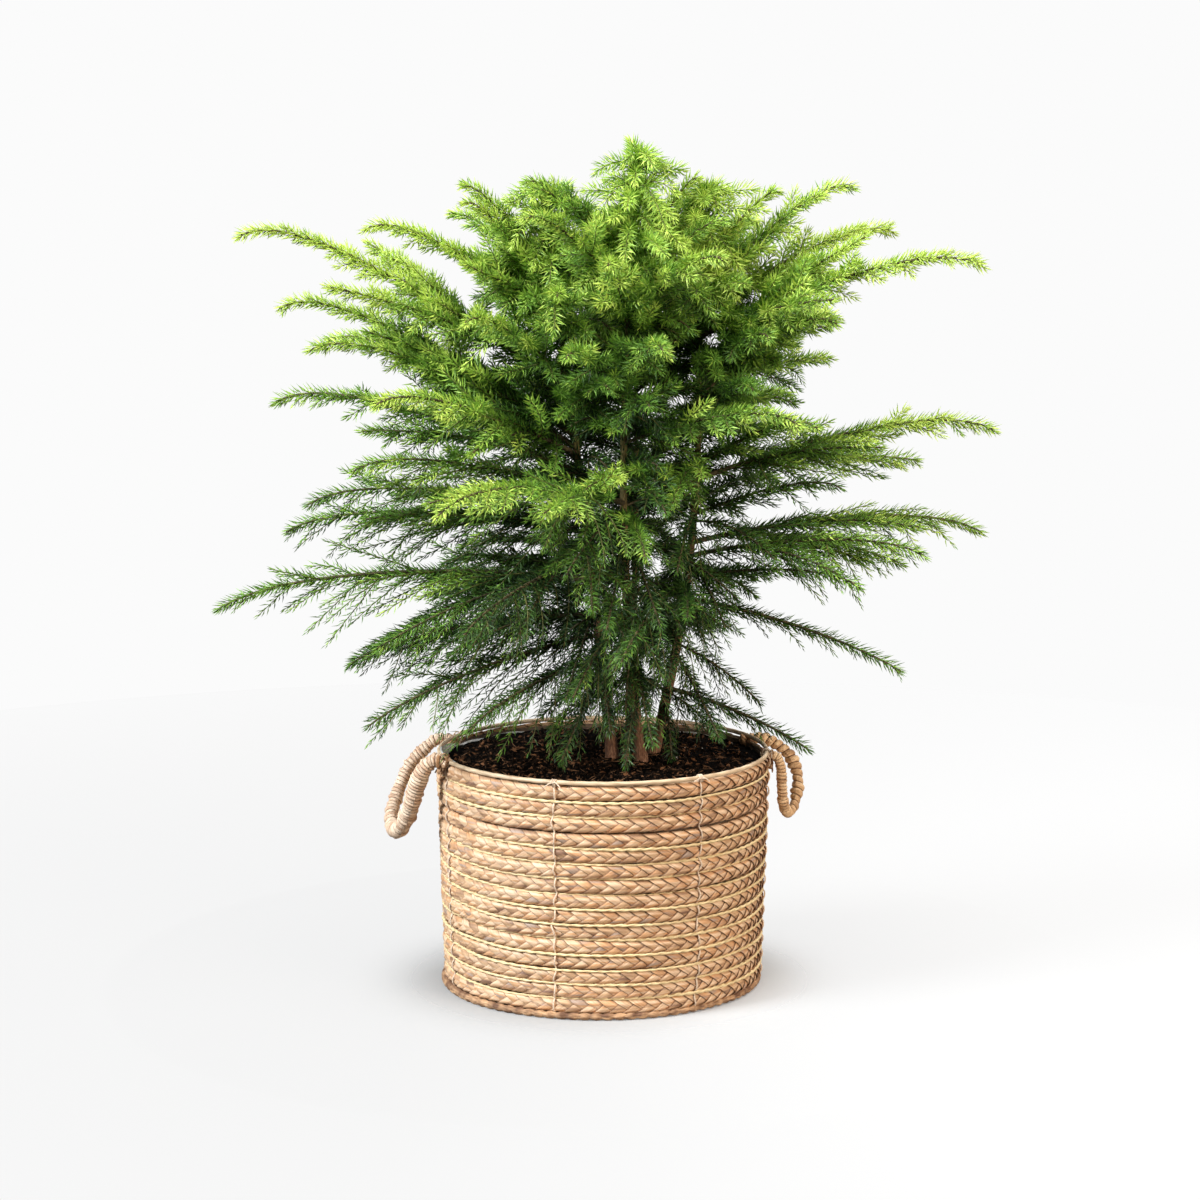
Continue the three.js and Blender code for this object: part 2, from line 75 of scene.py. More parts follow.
# %% Values that can be written into expressions
class Value:
    """A shader socket that can stand in an expression."""

    def __init__(self, tree, socket):
        self.tree = tree
        self.socket = socket

    def _math(self, operation, first, second):
        node = self.tree.nodes.new("ShaderNodeMath")
        node.operation = operation
        for socket, term in zip(node.inputs, (first, second)):
            if isinstance(term, Value):
                self.tree.links.new(term.socket, socket)
            else:
                socket.default_value = term
        return Value(self.tree, node.outputs[0])

    def __add__(self, other):
        return self._math("ADD", self, other)

    def __radd__(self, other):
        return self._math("ADD", other, self)

    def __sub__(self, other):
        return self._math("SUBTRACT", self, other)

    def __rsub__(self, other):
        return self._math("SUBTRACT", other, self)

    def __mul__(self, other):
        return self._math("MULTIPLY", self, other)

    def __rmul__(self, other):
        return self._math("MULTIPLY", other, self)


# %% One finish
class Finish:
    """A material with one Principled shader, and a method that adds any node."""

    def __init__(self, name, roughness=0.6, **constants):
        self.material = bpy.data.materials.new(name)
        self.material.use_nodes = True
        self.tree = self.material.node_tree
        self.shader = self.tree.nodes["Principled BSDF"]
        self.shader.inputs["Roughness"].default_value = roughness
        for socket, value in constants.items():
            self.shader.inputs[socket.replace("_", " ")].default_value = value

    def put(self, socket, value):
        if isinstance(value, Value):
            self.tree.links.new(value.socket, socket)
        elif value is not None:
            socket.default_value = value

    def add(self, kind, sockets=None, stops=None, output=0, **settings):
        node = self.tree.nodes.new("ShaderNode" + kind)
        for name, value in settings.items():
            setattr(node, name, value)
        if stops:
            ramp = node.color_ramp
            while len(ramp.elements) < len(stops):
                ramp.elements.new(1.0)
            for element, (place, colour) in zip(ramp.elements, stops):
                element.position = place
                element.color = (*colour, 1)
        for name, value in (sockets or {}).items():
            self.put(node.inputs[name], value)
        return Value(self.tree, node.outputs[output])

    def where(self, scale=(1, 1, 1)):
        """Object coordinates in metres, stretched by scale."""
        place = self.add("TexCoord", output="Object")
        return self.add("Mapping", {"Vector": place, "Scale": scale})

    def strand(self, scale=(1, 1, 1)):
        """The piece's own map: once round a strand, and metres along it."""
        place = self.add("UVMap", uv_map="strand")
        return self.add("Mapping", {"Vector": place, "Scale": scale})

    def noise(self, place, scale, detail=3.0, roughness=0.5):
        inputs = {"Vector": place, "Scale": scale, "Detail": detail, "Roughness": roughness}
        return self.add("TexNoise", inputs)

    def ramp(self, value, stops):
        return self.add("ValToRGB", {"Fac": value}, stops=stops)

    def blend(self, factor, first, second, blend_type="MIX"):
        node = self.tree.nodes.new("ShaderNodeMix")
        node.data_type = "RGBA"
        node.blend_type = blend_type
        for socket, value in zip((0, 6, 7), (factor, first, second)):
            if isinstance(value, tuple) and len(value) == 3:
                value = (*value, 1)
            self.put(node.inputs[socket], value)
        return Value(self.tree, node.outputs[2])

    def colour(self, value):
        self.put(self.shader.inputs["Base Color"], value)

    def rough(self, value):
        self.put(self.shader.inputs["Roughness"], value)

    def bump(self, height, distance, strength=1.0):
        inputs = {"Height": height, "Distance": distance, "Strength": strength}
        self.put(self.shader.inputs["Normal"], self.add("Bump", inputs))


# %% [markdown]
# Most finishes need only one noise, which picks the tint and may raise the surface as well. It is
# laid along a strand, where the piece has a map for that, or else through space.


# %% A finish of one noise
def grained(
    name, roughness, stops, scale=1.0, detail=3.0, rough=0.5,
    along=None, stretch=(1, 1, 1), relief=0.0, strength=1.0, **constants,
):  # fmt: skip
    made = Finish(name, roughness, **constants)
    place = made.strand(along) if along else made.where(stretch)
    grain = made.noise(place, scale, detail, rough)
    made.colour(made.ramp(grain, stops))
    if relief:
        made.bump(grain, relief, strength)
    return made


# %% [markdown]
# ## From a flat grid to a strand
#
# Almost everything in this basket is a strand that runs along a path: flat leaf in a braid,
# twisted rush, a wrapped rope, a wire, a trunk. A curve with a bevel could make a plain tube, but
# not a flat strand that changes its width, twist and relief as it goes. So each strand starts as
# a level grid from `create_grid`, is rolled up along its path, and is closed by merging its
# seams. The grid's own coordinates stay on it as a map, for grain that follows the strand.


# %% Strands and pieces
class Strand:
    """A grid to roll up: place(around, along) gives points in millimetres."""

    def __init__(self, place, around, along, length, offset=0.0):
        self.place = place
        self.around = around
        self.along = along
        self.length = length
        self.offset = offset


def add_strand(bm, strand):
    """Rolls one strand up and adds it to a bmesh."""
    flat = bmesh.new()
    bmesh.ops.create_grid(flat, x_segments=strand.around, y_segments=strand.along, size=0.5)
    mesh = bpy.data.meshes.new("flat")
    flat.to_mesh(mesh)
    flat.free()
    places = np.empty(len(mesh.vertices) * 3, np.float32)
    mesh.vertices.foreach_get("co", places)
    around, along = (places.reshape(-1, 3)[:, :2] + 0.5).astype(float).T
    points = strand.place(around, along) * MM
    mesh.vertices.foreach_set("co", points.astype(np.float32).ravel())
    corners = np.empty(len(mesh.loops), np.int32)
    mesh.loops.foreach_get("vertex_index", corners)
    metres = along * strand.length * MM + strand.offset
    mapped = np.stack([around[corners], metres[corners]], 1)
    layer = mesh.uv_layers.new(name="strand")
    layer.data.foreach_set("uv", mapped.astype(np.float32).ravel())
    bm.from_mesh(mesh)
    bpy.data.meshes.remove(mesh)


def make_piece(name, mesh, finish, nodes=(), smooth=True):
    """A finished mesh as a piece that rides on the plant's one body."""
    mesh.materials.clear()
    mesh.materials.append(finish.material)
    mesh.polygons.foreach_set("use_smooth", [smooth] * len(mesh.polygons))
    piece = bpy.data.objects.new(name, mesh)
    bpy.context.scene.collection.objects.link(piece)
    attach(piece, "root")
    if nodes:
        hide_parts(*nodes)
    mesh.calc_loop_triangles()
    print(name, len(mesh.loop_triangles), "triangles")
    return piece


def close_up(bm, name):
    """Merges the seams, turns the faces outwards and gives the mesh."""
    bmesh.ops.remove_doubles(bm, verts=bm.verts, dist=2e-6)
    bmesh.ops.recalc_face_normals(bm, faces=bm.faces)
    mesh = bpy.data.meshes.new(name)
    bm.to_mesh(mesh)
    bm.free()
    return mesh


def strand_piece(name, strands, finish, nodes=(), smooth=True):
    bm = bmesh.new()
    for strand in strands:
        add_strand(bm, strand)
    return make_piece(name, close_up(bm, name), finish, nodes, smooth)


# %% [markdown]
# ## Camera
#
# The camera stands a little above the crown, over three metres off, with a long lens, so
# that the basket's rim opens into a flat ellipse and the plant hardly narrows with distance.

# %% Camera and colour
CAMERA_AT = (-0.0025, -3.2, 0.880)
CAMERA_PITCH = 9.33  # degrees below level
LENS = 106.7

camera = bpy.data.objects.new("camera", bpy.data.cameras.new("camera"))
camera.location = CAMERA_AT
camera.rotation_euler = (math.radians(90 - CAMERA_PITCH), 0, 0)
camera.data.lens = LENS
camera.data.sensor_width = 36
bpy.context.scene.collection.objects.link(camera)
bpy.context.scene.camera = camera
bpy.context.scene.view_settings.view_transform = "Standard"

# %% [markdown]
# ## Light and floor
#
# The plant stands in a white studio. One large soft lamp on the left models the braid, and a
# weaker, warmer one on the right fills its shadows. A broad one overhead lights the crown from
# above so that its inside stays dark, and a weak one from behind catches the needle tips. The
# white all round is a plain dome that only the camera sees. It keeps the background white without
# washing out the shadows. The floor thins out into it.


# %% World and lamps
def add_lamp(name, place, aim, size, power, tint=(1, 1, 1)):
    data = bpy.data.lights.new(name, "AREA")
    data.shape = "DISK"
    data.size = size
    data.energy = power
    data.color = tint
    lamp = bpy.data.objects.new(name, data)
    lamp.location = place
    lamp.rotation_euler = (Vector(aim) - Vector(place)).to_track_quat("-Z", "Y").to_euler()
    lamp.visible_camera = False
    bpy.context.scene.collection.objects.link(lamp)


world = bpy.data.worlds.new("studio")
world.use_nodes = True
world.node_tree.nodes["Background"].inputs["Color"].default_value = (1, 0.95, 0.88, 1)
world.node_tree.nodes["Background"].inputs["Strength"].default_value = 0.12
bpy.context.scene.world = world
add_lamp("key", (-3.1, -1.6, 2.4), (0, 0, 0.35), 1.8, 312, (0.92, 0.97, 1))
add_lamp("fill", (2.8, -2.5, 1.3), (0, 0, 0.35), 1.8, 126, (1, 0.86, 0.70))
add_lamp("overhead", (0.2, -0.5, 3.4), (0, 0, 0.5), 2.0, 108)
add_lamp("behind", (1.5, 2.2, 2.2), (0, 0, 0.6), 1.4, 30)


# %% Floor and dome
def add_stage(name, bm, finish):
    mesh = bpy.data.meshes.new(name)
    bm.to_mesh(mesh)
    bm.free()
    mesh.materials.append(finish.material)
    staged = bpy.data.objects.new(name, mesh)
    bpy.context.scene.collection.objects.link(staged)
    staged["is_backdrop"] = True
    return staged


FLOOR_RADIUS = 1.5
FLOOR_SOLID = [(0.0, (0.92,) * 3)]  # how opaque the floor is at a share of its radius
for place in np.arange(0.09, 0.32, 0.02):
    FLOOR_SOLID.append((place, (0.16 + 0.76 * math.exp(-(((place - 0.09) / 0.03) ** 2)),) * 3))
FLOOR_SOLID.append((1.0, (0,) * 3))
# Painted light and shade: the floor is painted darker on the left and lighter on the right, where the
# plant's shadow falls.
FLOOR_PAINTED_GREYS = [(0, 0.24), (0.35, 0.29), (0.5, 0.38), (0.7, 0.58), (1, 0.75)]  # left to right
FLOOR_PAINTED_STOPS = [(share, (shade,) * 3) for share, shade in FLOOR_PAINTED_GREYS]

studio_floor = Finish("studio_floor", 0.8)
floor_place = studio_floor.add("TexCoord", output="Object")
floor_grain = studio_floor.noise(floor_place, 3.0)
floor_across = studio_floor.add("SeparateXYZ", {"Vector": floor_place}, output="X")
# Painted light and shade: darker to the left, lighter to the right where the shadow falls.
floor_painted_light = floor_across * 0.8 + floor_grain * 0.04 + 0.47
studio_floor.colour(studio_floor.ramp(floor_painted_light, FLOOR_PAINTED_STOPS))
far_off = studio_floor.add(
    "VectorMath", {"Vector": floor_place}, output="Value", operation="LENGTH"
)
solid = studio_floor.ramp(far_off * (1 / FLOOR_RADIUS), FLOOR_SOLID)
solid.socket.node.color_ramp.interpolation = "B_SPLINE"
studio_floor.put(studio_floor.shader.inputs["Alpha"], solid)
bm = bmesh.new()
bmesh.ops.create_circle(bm, cap_ends=True, segments=96, radius=FLOOR_RADIUS)
add_stage("floor", bm, studio_floor)

dome_white = Finish("dome_white", 1.0, Emission_Color=(1, 1, 1, 1), Emission_Strength=0.965)
dome_white.colour(dome_white.ramp(dome_white.noise(dome_white.where(), 1.0), [(0, (0, 0, 0))] * 2))
dome_white.shader.inputs["Specular IOR Level"].default_value = 0
bm = bmesh.new()
bmesh.ops.create_uvsphere(bm, u_segments=48, v_segments=24, radius=14)
dome = add_stage("dome", bm, dome_white)
for ray in ("diffuse", "glossy", "transmission", "volume_scatter", "shadow"):
    setattr(dome, "visible_" + ray, False)

# %% [markdown]
# ## Braided leaf
#
# Each row of the basket is a flat braid of three dry leaves. In such a braid every leaf runs
# slantwise from one edge to the other and is folded over there, so that it comes back on top. It
# lies over its neighbour just after an edge and under the next one before the other edge. The
# grid's lines across the leaf run level, so that a fold falls on a line of the grid and stays
# sharp. Each leaf's left border stands a little higher than its right, and so lies on the leaf
# before it.

# %% The basket's sizes
BASKET_HEIGHT = 213
BASKET_TOP_RADIUS = 154
BASKET_FOOT_RADIUS = 147
BRAID_ROWS = 15
ROWS_FROM = 4.8  # height of the lowest row's edge
ROW_HEIGHT = (BASKET_HEIGHT - ROWS_FROM) / BRAID_ROWS
LEAF_SWINGS = 23  # times round the basket that a leaf swings up and down
LEAF_STEPS = 18  # lines across the leaf in each swing, a multiple of six so that folds meet them
LEAF_CORNER = 0.97  # 1 would be a sharp zigzag, and much less a smooth wave
LEAF_DIP = 0.9  # how far a leaf rises and sinks between two folds
LEAF_TILT = 1.4  # how far its left border stands out and its right one lies in
LEAF_SPAN = 17.5  # of a leaf, measured level
LEAF_THICKNESS = 0.8
LEAF_DEPTH = 6.0  # how far inside the basket's outline the leaves' middle lies
ROW_BULGE = 3.0
BULGE_SHARPNESS = 3.6  # more makes a row flatter, with tighter edges
FOLD_AT = ROW_HEIGHT / 2 - 0.6
TURN = 2 * math.pi
GOLDEN_ANGLE = 2.39996  # in radians

dice = np.random.default_rng(11)


def wall_radius(height):
    share = np.clip(height / BASKET_HEIGHT, 0, 1)
    return BASKET_FOOT_RADIUS + (BASKET_TOP_RADIUS - BASKET_FOOT_RADIUS) * share


def rings(radius, angle, height):
    return np.stack([radius * np.cos(angle), radius * np.sin(angle), height], 1)


def wander(angle, seed, size, waves=5):
    """A smooth uneven line round the basket that closes on itself."""
    local = np.random.default_rng(seed)
    total = np.zeros_like(angle)
    for wave in range(1, waves + 1):
        total += np.sin(wave * angle + local.uniform(0, TURN)) * local.uniform(0.4, 1) / wave
    return total * size


# %% One leaf of a braid
def squared(wave, power=0.3):
    """A sine or cosine with its tops flattened."""
    return np.sign(wave) * np.abs(wave) ** power


def sway(angle, height):
    """How far the rows rise and fall together, most half way up."""
    return wander(angle, 41, 1.5, 7) * math.sin(math.pi * height / BASKET_HEIGHT)


def row_middle(row):
    return ROWS_FROM + (row + 0.5) * ROW_HEIGHT


def braid_leaf(row, leaf):
    middle = row_middle(row)
    local = np.random.default_rng(row * 10 + leaf)
    fold = local.normal(0, 1, LEAF_SWINGS * 4)

    def place(around, along):
        swing = along * TURN * LEAF_SWINGS + leaf * TURN / 3 + row * 5 * TURN / LEAF_STEPS
        uneven = np.interp(along * len(fold), np.arange(len(fold) + 1), np.append(fold, fold[0]))
        across = squared(np.cos(around * TURN))
        proud = LEAF_THICKNESS / 2 * squared(np.sin(around * TURN))
        facing = np.clip(2.2 * np.sin(swing), -1, 1)  # which face of the leaf looks outwards
        zigzag = np.arcsin(LEAF_CORNER * np.cos(swing)) / math.asin(LEAF_CORNER)
        height = FOLD_AT * zigzag * (1 + 0.05 * uneven)
        dip = LEAF_DIP * np.sin(2 * swing) - LEAF_TILT * across + 0.2 * uneven
        bulge = ROW_BULGE * (1 - np.minimum(1, np.abs(height / FOLD_AT)) ** BULGE_SHARPNESS)
        angle = along * TURN + 0.25 * wander(along * TURN, row + 20, 1.0) / LEAF_SWINGS
        radius = wall_radius(middle) - LEAF_DEPTH + dip + proud * facing + bulge
        radius = radius + wander(angle, row + 50, 0.45)
        level = middle + height + wander(angle, row, 0.4) + sway(angle, middle)
        level = level + proud * np.sqrt(1 - facing**2)
        return rings(radius, angle + across * LEAF_SPAN / 2 * (1 + 0.06 * uneven) / radius, level)

    length = TURN * wall_radius(middle) * 1.15
    return Strand(place, 8, LEAF_SWINGS * LEAF_STEPS, length, row * 3.1 + leaf * 1.3)


# %% [markdown]
# Dried water-hyacinth leaf is tan, but no two lengths of it match: some are pinkish, some grey,
# some orange, and fine ribs run along it. A slow noise along the strand picks the tint, and a
# noise that is stretched along it draws the ribs. A dark line of painted shade runs along the
# leaf's two edges, for the shadow where one leaf meets the next; the strand's own map finds the
# edges at the start and half way round.

# %% The braid's finish
dry_leaf = Finish("dry_leaf", 0.5)
tint = dry_leaf.noise(dry_leaf.strand((0.8, 70, 1)), 1.0, 2.0, 0.6)
LEAF_TINTS = [
    (0.30, (0.24, 0.13, 0.08)),
    (0.38, (0.50, 0.30, 0.17)),
    (0.45, (0.66, 0.42, 0.24)),
    (0.51, (0.79, 0.57, 0.39)),
    (0.57, (0.68, 0.38, 0.19)),
    (0.62, (0.55, 0.30, 0.16)),
    (0.68, (0.42, 0.30, 0.23)),
]
ribs = dry_leaf.noise(dry_leaf.strand((30, 34, 1)), 1.0, 4.0, 0.65)
leaf_tint = dry_leaf.ramp(tint, LEAF_TINTS)
rib_shade = dry_leaf.ramp(ribs, [(0.30, (0.55, 0.46, 0.40)), (0.52, (1, 1, 1))])
ribbed = dry_leaf.blend(0.75, leaf_tint, rib_shade, "MULTIPLY")
across_leaf = dry_leaf.add("SeparateXYZ", {"Vector": dry_leaf.strand()}, output="X")
# Painted shade: a dark brown line along both edges of every leaf, where it meets its neighbour.
EDGE_PAINTED_SHADE, CLEAR = (0.20, 0.10, 0.05), (1, 1, 1)
LEAF_EDGE_PAINTED_SHADE = [(0.05, EDGE_PAINTED_SHADE), (0.12, CLEAR), (0.38, CLEAR), (0.45, EDGE_PAINTED_SHADE)]
LEAF_EDGE_PAINTED_SHADE += [(place + 0.5, tint) for place, tint in LEAF_EDGE_PAINTED_SHADE]
dry_leaf.colour(dry_leaf.blend(0.85, ribbed, dry_leaf.ramp(across_leaf, LEAF_EDGE_PAINTED_SHADE), "MULTIPLY"))
dry_leaf.rough(ribs * 0.25 + 0.38)
dry_leaf.bump(ribs, 0.0007, 0.8)

# %% Fifteen braided rows
for row in range(BRAID_ROWS):
    leaves = [braid_leaf(row, leaf) for leaf in range(3)]
    nodes = ["basket"] if row == 0 else []
    strand_piece(f"braid_row_{row + 1:02d}", leaves, dry_leaf, nodes)

# %% [markdown]
# ## Rush cords between the rows
#
# Two-ply cords of pale rush lie in the grooves between the rows and show as twisted lines. A
# section with two lobes, turned as it goes round, is a two-ply cord.

# %% Cords in the grooves
CORD_GROOVES = [1, 2, 3, 4, 5, 6, 7, 8, 9, 10, 11, 13, 14]
CORD_RADIUS = 1.5
CORD_TWISTS = 92
CORD_SUNK = 2.7  # how far inside the basket's outline a cord lies
CORD_PROUD = 0.8  # the most by which it comes out of that


def rush_cord(groove):
    middle = ROWS_FROM + groove * ROW_HEIGHT

    def place(around, along):
        angle = along * TURN
        turn = around * TURN
        twist = angle * CORD_TWISTS / 2
        swell = 1 + wander(angle, groove + 110, 0.22, 12)
        twist = twist + wander(angle, groove + 150, 1.2, 16)
        lobes = CORD_RADIUS * swell * (0.52 + 0.56 * np.abs(np.cos(turn - twist)))
        height = middle + sway(angle, middle) + wander(angle, groove + 90, 0.8, 14)
        height = height + lobes * np.sin(turn)
        sunk = CORD_SUNK + np.maximum(-CORD_PROUD, wander(angle, groove + 130, 2.2, 14))
        radius = wall_radius(middle) - sunk + lobes * np.cos(turn)
        return rings(radius, angle, height)

    return Strand(place, 8, CORD_TWISTS * 7, TURN * wall_radius(middle), groove * 2.3)


RUSH_TINTS = [(0.3, (0.50, 0.35, 0.16)), (0.6, (0.82, 0.66, 0.38))]
rush = grained("rush", 0.6, RUSH_TINTS, along=(9, 160, 1), relief=0.0004, strength=0.6)
strand_piece("rush_cords", [rush_cord(groove) for groove in CORD_GROOVES], rush)

# %% [markdown]
# ## Behind the braids
#
# Between the braids you see into shadow. That shadow is painted: a thin shell of near-black
# brown stands behind the braids, and from inside it shows over the soil. It is a thin shell: its
# outline is spun once round, with `use_merge` so that the ring closes. The base is a flat coil of
# braid, spun from a row of bumps.


# %% Spun shells
def spin_piece(name, outline, finish, nodes=(), steps=96, shape=None):
    """Spins [radius, height] pairs round the basket's axis and closes the ring."""
    bm = bmesh.new()
    corners = [bm.verts.new((radius * MM, 0, height * MM)) for radius, height in outline]
    for first, second in zip(corners, corners[1:] + corners[:1]):
        bm.edges.new((first, second))
    bmesh.ops.spin(
        bm,
        geom=bm.verts[:] + bm.edges[:],
        cent=(0, 0, 0),
        axis=(0, 0, 1),
        angle=TURN,
        steps=steps,
        use_merge=True,
    )
    if shape:
        for corner in bm.verts:
            corner.co = shape(corner.co)
    return make_piece(name, close_up(bm, name), finish, nodes)


# Painted shade: a near-black shell behind the braids stands for the shadow seen through their gaps.
SHADE_SHEET_TINTS = [(0.3, (0.03, 0.016, 0.008)), (0.7, (0.11, 0.066, 0.035))]
SHADE_SHEET_ENDS = (5, 210)  # heights
SHADE_SHEET_DEPTHS = (7.5, 6.9)  # how far inside the basket's outline its two faces lie
shade_sheet = grained("shade_sheet", 0.9, SHADE_SHEET_TINTS, 180, stretch=(1, 1, 3), relief=0.0008)
shade_sheet_outline = []
for depth, ends in zip(SHADE_SHEET_DEPTHS, (SHADE_SHEET_ENDS, SHADE_SHEET_ENDS[::-1])):
    shade_sheet_outline += [(wall_radius(end) - depth, end) for end in ends]
spin_piece("basket_shade_sheet", shade_sheet_outline, shade_sheet)

# %% The coiled base
COILS = 10
COIL_WIDTH = 14.1
COIL_PROFILE = ((0, 4.4), (0.25, 6.2), (0.5, 6.8), (0.75, 6.2))  # heights across one coil
BASE_RADIUS = BASKET_FOOT_RADIUS - 5.5
BASE_HOLE = 0.4
BASE_UNDERSIDE = 0.6
base_outline = [(BASE_HOLE, BASE_UNDERSIDE), (BASE_RADIUS, BASE_UNDERSIDE)]
for coil in range(COILS, 0, -1):
    reach = BASE_RADIUS * coil / COILS
    for step, swell in COIL_PROFILE:
        base_outline.append((max(reach - COIL_WIDTH * step, BASE_HOLE), swell))
base_outline.append((BASE_HOLE, COIL_PROFILE[0][1]))
spin_piece("coiled_base", base_outline, dry_leaf)

# %% The coil at the foot
FOOT_COIL = 3.3  # half the coil's width
FOOT_LUMPS = 88
FOOT_SHOWS = 3.2  # how far the coil comes out where it shows most
FOOT_SHOWS_AT = math.radians(225)


def foot_coil(around, along):
    """The darker, lumpy edge of the base, which shows below the lowest row."""
    angle, turn = along * TURN, around * TURN
    slant = angle * FOOT_LUMPS / 2 + 0.5 * np.cos(turn)
    lump = 0.60 + 0.46 * np.abs(np.sin(slant)) ** 0.6
    size = FOOT_COIL * (lump + wander(angle, 77, 0.10, 12))
    height = 3.3 + wander(angle, 78, 0.15) + size * np.sin(turn)
    shown = FOOT_SHOWS * np.maximum(0, np.cos(angle - FOOT_SHOWS_AT))
    radius = wall_radius(0) - 3.4 + shown + wander(angle, 79, 0.9, 9) + size * np.cos(turn)
    return rings(radius, angle, height)


worn_leaf = Finish("worn_leaf", 0.75)
worn_ribs = worn_leaf.noise(worn_leaf.strand((14, 120, 1)), 1.0, 4.0, 0.65)
worn_patch = worn_leaf.noise(worn_leaf.strand((1, 60, 1)), 1.0, 2.0)
worn_tint = worn_leaf.ramp(worn_patch, [(0.38, (0.17, 0.08, 0.04)), (0.60, (0.58, 0.35, 0.19))])
worn_shade = worn_leaf.ramp(worn_ribs, [(0.35, (0.34, 0.26, 0.20)), (0.58, (1, 1, 1))])
worn_leaf.colour(worn_leaf.blend(0.85, worn_tint, worn_shade, "MULTIPLY"))
worn_leaf.bump(worn_ribs, 0.0006)
coil = Strand(foot_coil, 10, FOOT_LUMPS * 7, TURN * BASKET_FOOT_RADIUS)
strand_piece("foot_coil", [coil], worn_leaf)

# %% [markdown]
# ## Paths
#
# Threads, handles and limbs follow a line through space. `Path` holds such a line and carries a
# frame along it that never twists more than the line itself does, so that a rope's wrap or a
# bark's relief can be laid round it. A tube's first and last rings shrink to a point, and
# merging the doubles then closes its ends.


# %% A line with a frame
def unit(vectors):
    return vectors / np.maximum(np.linalg.norm(vectors, axis=-1, keepdims=True), 1e-9)


def smooth_line(points, pieces=12):
    """A Catmull-Rom line through a few points."""
    points = np.array(points, float)
    padded = np.vstack([2 * points[0] - points[1], points, 2 * points[-1] - points[-2]])
    share = np.linspace(0, 1, pieces, endpoint=False)[:, None]
    line = []
    for a, b, c, d in zip(padded, padded[1:], padded[2:], padded[3:]):
        cubic = (3 * b - a - 3 * c + d) * share**3 + (2 * a - 5 * b + 4 * c - d) * share**2
        line.append((cubic + (c - a) * share) / 2 + b)
    return np.vstack([*line, points[-1]])


class Path:
    def __init__(self, points):
        points = np.array(points, float)
        steps = np.linalg.norm(np.diff(points, axis=0), axis=1)
        self.places = np.append(0, np.cumsum(steps)) / steps.sum()
        self.length = steps.sum()
        self.points = points
        self.along = unit(np.gradient(points, self.places, axis=0))
        side = np.cross(self.along[0], (0.31, 0.17, 0.93))
        self.side = []
        for direction in self.along:
            side = unit(side - direction * (side @ direction))
            self.side.append(side)
        self.side = np.array(self.side)

    def sample(self, values, share):
        return np.stack([np.interp(share, self.places, column) for column in values.T], 1)

    def frame(self, share):
        along = unit(self.sample(self.along, share))
        side = unit(self.sample(self.side, share))
        return self.sample(self.points, share), along, side, np.cross(along, side)

    def at(self, share):
        """The point at one share of the way, and the direction there."""
        middle, along, _, _ = self.frame(np.array([share]))
        return middle[0], along[0]


def tube(path, radius, around, steps, offset=0.0):
    """A strand along a path. Its radius is a number, or radius(share, turn) lets it change."""

    def place(turn, along):
        share = np.clip((along * steps - 1) / (steps - 2), 0, 1)
        ends = (along * steps > 0.5) & (along * steps < steps - 0.5)
        middle, _, side, lift = path.frame(share)
        angle = (turn * TURN)[:, None]
        size = radius(share, turn * TURN) if callable(radius) else radius
        size = (size * ends)[:, None]
        return middle + size * (np.cos(angle) * side + np.sin(angle) * lift)

    return Strand(place, around, steps, path.length, offset)


# %% [markdown]
# ## Rim, thread and liner
#
# A cane ring stiffens the mouth. Seven lines of thread sew the rows together: each lies over the
# rows, is pulled in a little at every groove, and is knotted round the ring. The pot liner is a
# thin silvery bag whose lip is folded unevenly, so it shows only here and there.

# %% The cane ring
RIM_RADIUS = 150
RIM_WIRE = 2
RIM_HEIGHT = 215.3

CANE_TINTS = [(0.3, (0.40, 0.27, 0.16)), (0.65, (0.72, 0.56, 0.38))]
cane = grained("cane", 0.5, CANE_TINTS, 90, stretch=(1, 1, 6), relief=0.0003)


def ring_line(share):
    angle = share * TURN
    lift = wander(angle, 7, 0.35)
    return rings(RIM_RADIUS + wander(angle, 8, 0.4), angle, RIM_HEIGHT + lift)


def rim_ring(around, along):
    angle, turn = along * TURN, around * TURN
    wrap = 1 + 0.05 * np.cos(turn + angle * 60)
    middle = ring_line(along)
    out = rings(np.ones_like(angle), angle, np.zeros_like(angle))
    size = (RIM_WIRE * wrap)[:, None]
    return middle + size * (np.cos(turn)[:, None] * out + np.sin(turn)[:, None] * (0, 0, 1))


strand_piece("cane_ring", [Strand(rim_ring, 10, 480, 942)], cane, ["rim_wire"])

# %% Sewing thread
SEAMS = 7
FIRST_SEAM = 202  # degrees
THREAD_RADIUS = 0.75
KNOT_RADIUS = 0.6


def seam_line(seam):
    """Down over the rows, drawn in at each groove."""
    local = np.random.default_rng(seam + 300)
    height = np.linspace(RIM_HEIGHT, 1.5, BRAID_ROWS * 10)
    drawn = 0.5 + 0.5 * np.cos((height - ROWS_FROM) / ROW_HEIGHT * TURN)
    wave = np.interp(height, np.linspace(0, 216, 31), local.normal(0, 1.1, 31))
    radius = wall_radius(height) - 0.2 - 2.6 * drawn**2
    angle = math.radians(FIRST_SEAM + seam * 360 / SEAMS) + wave / radius
    return Path(rings(radius, angle, height))


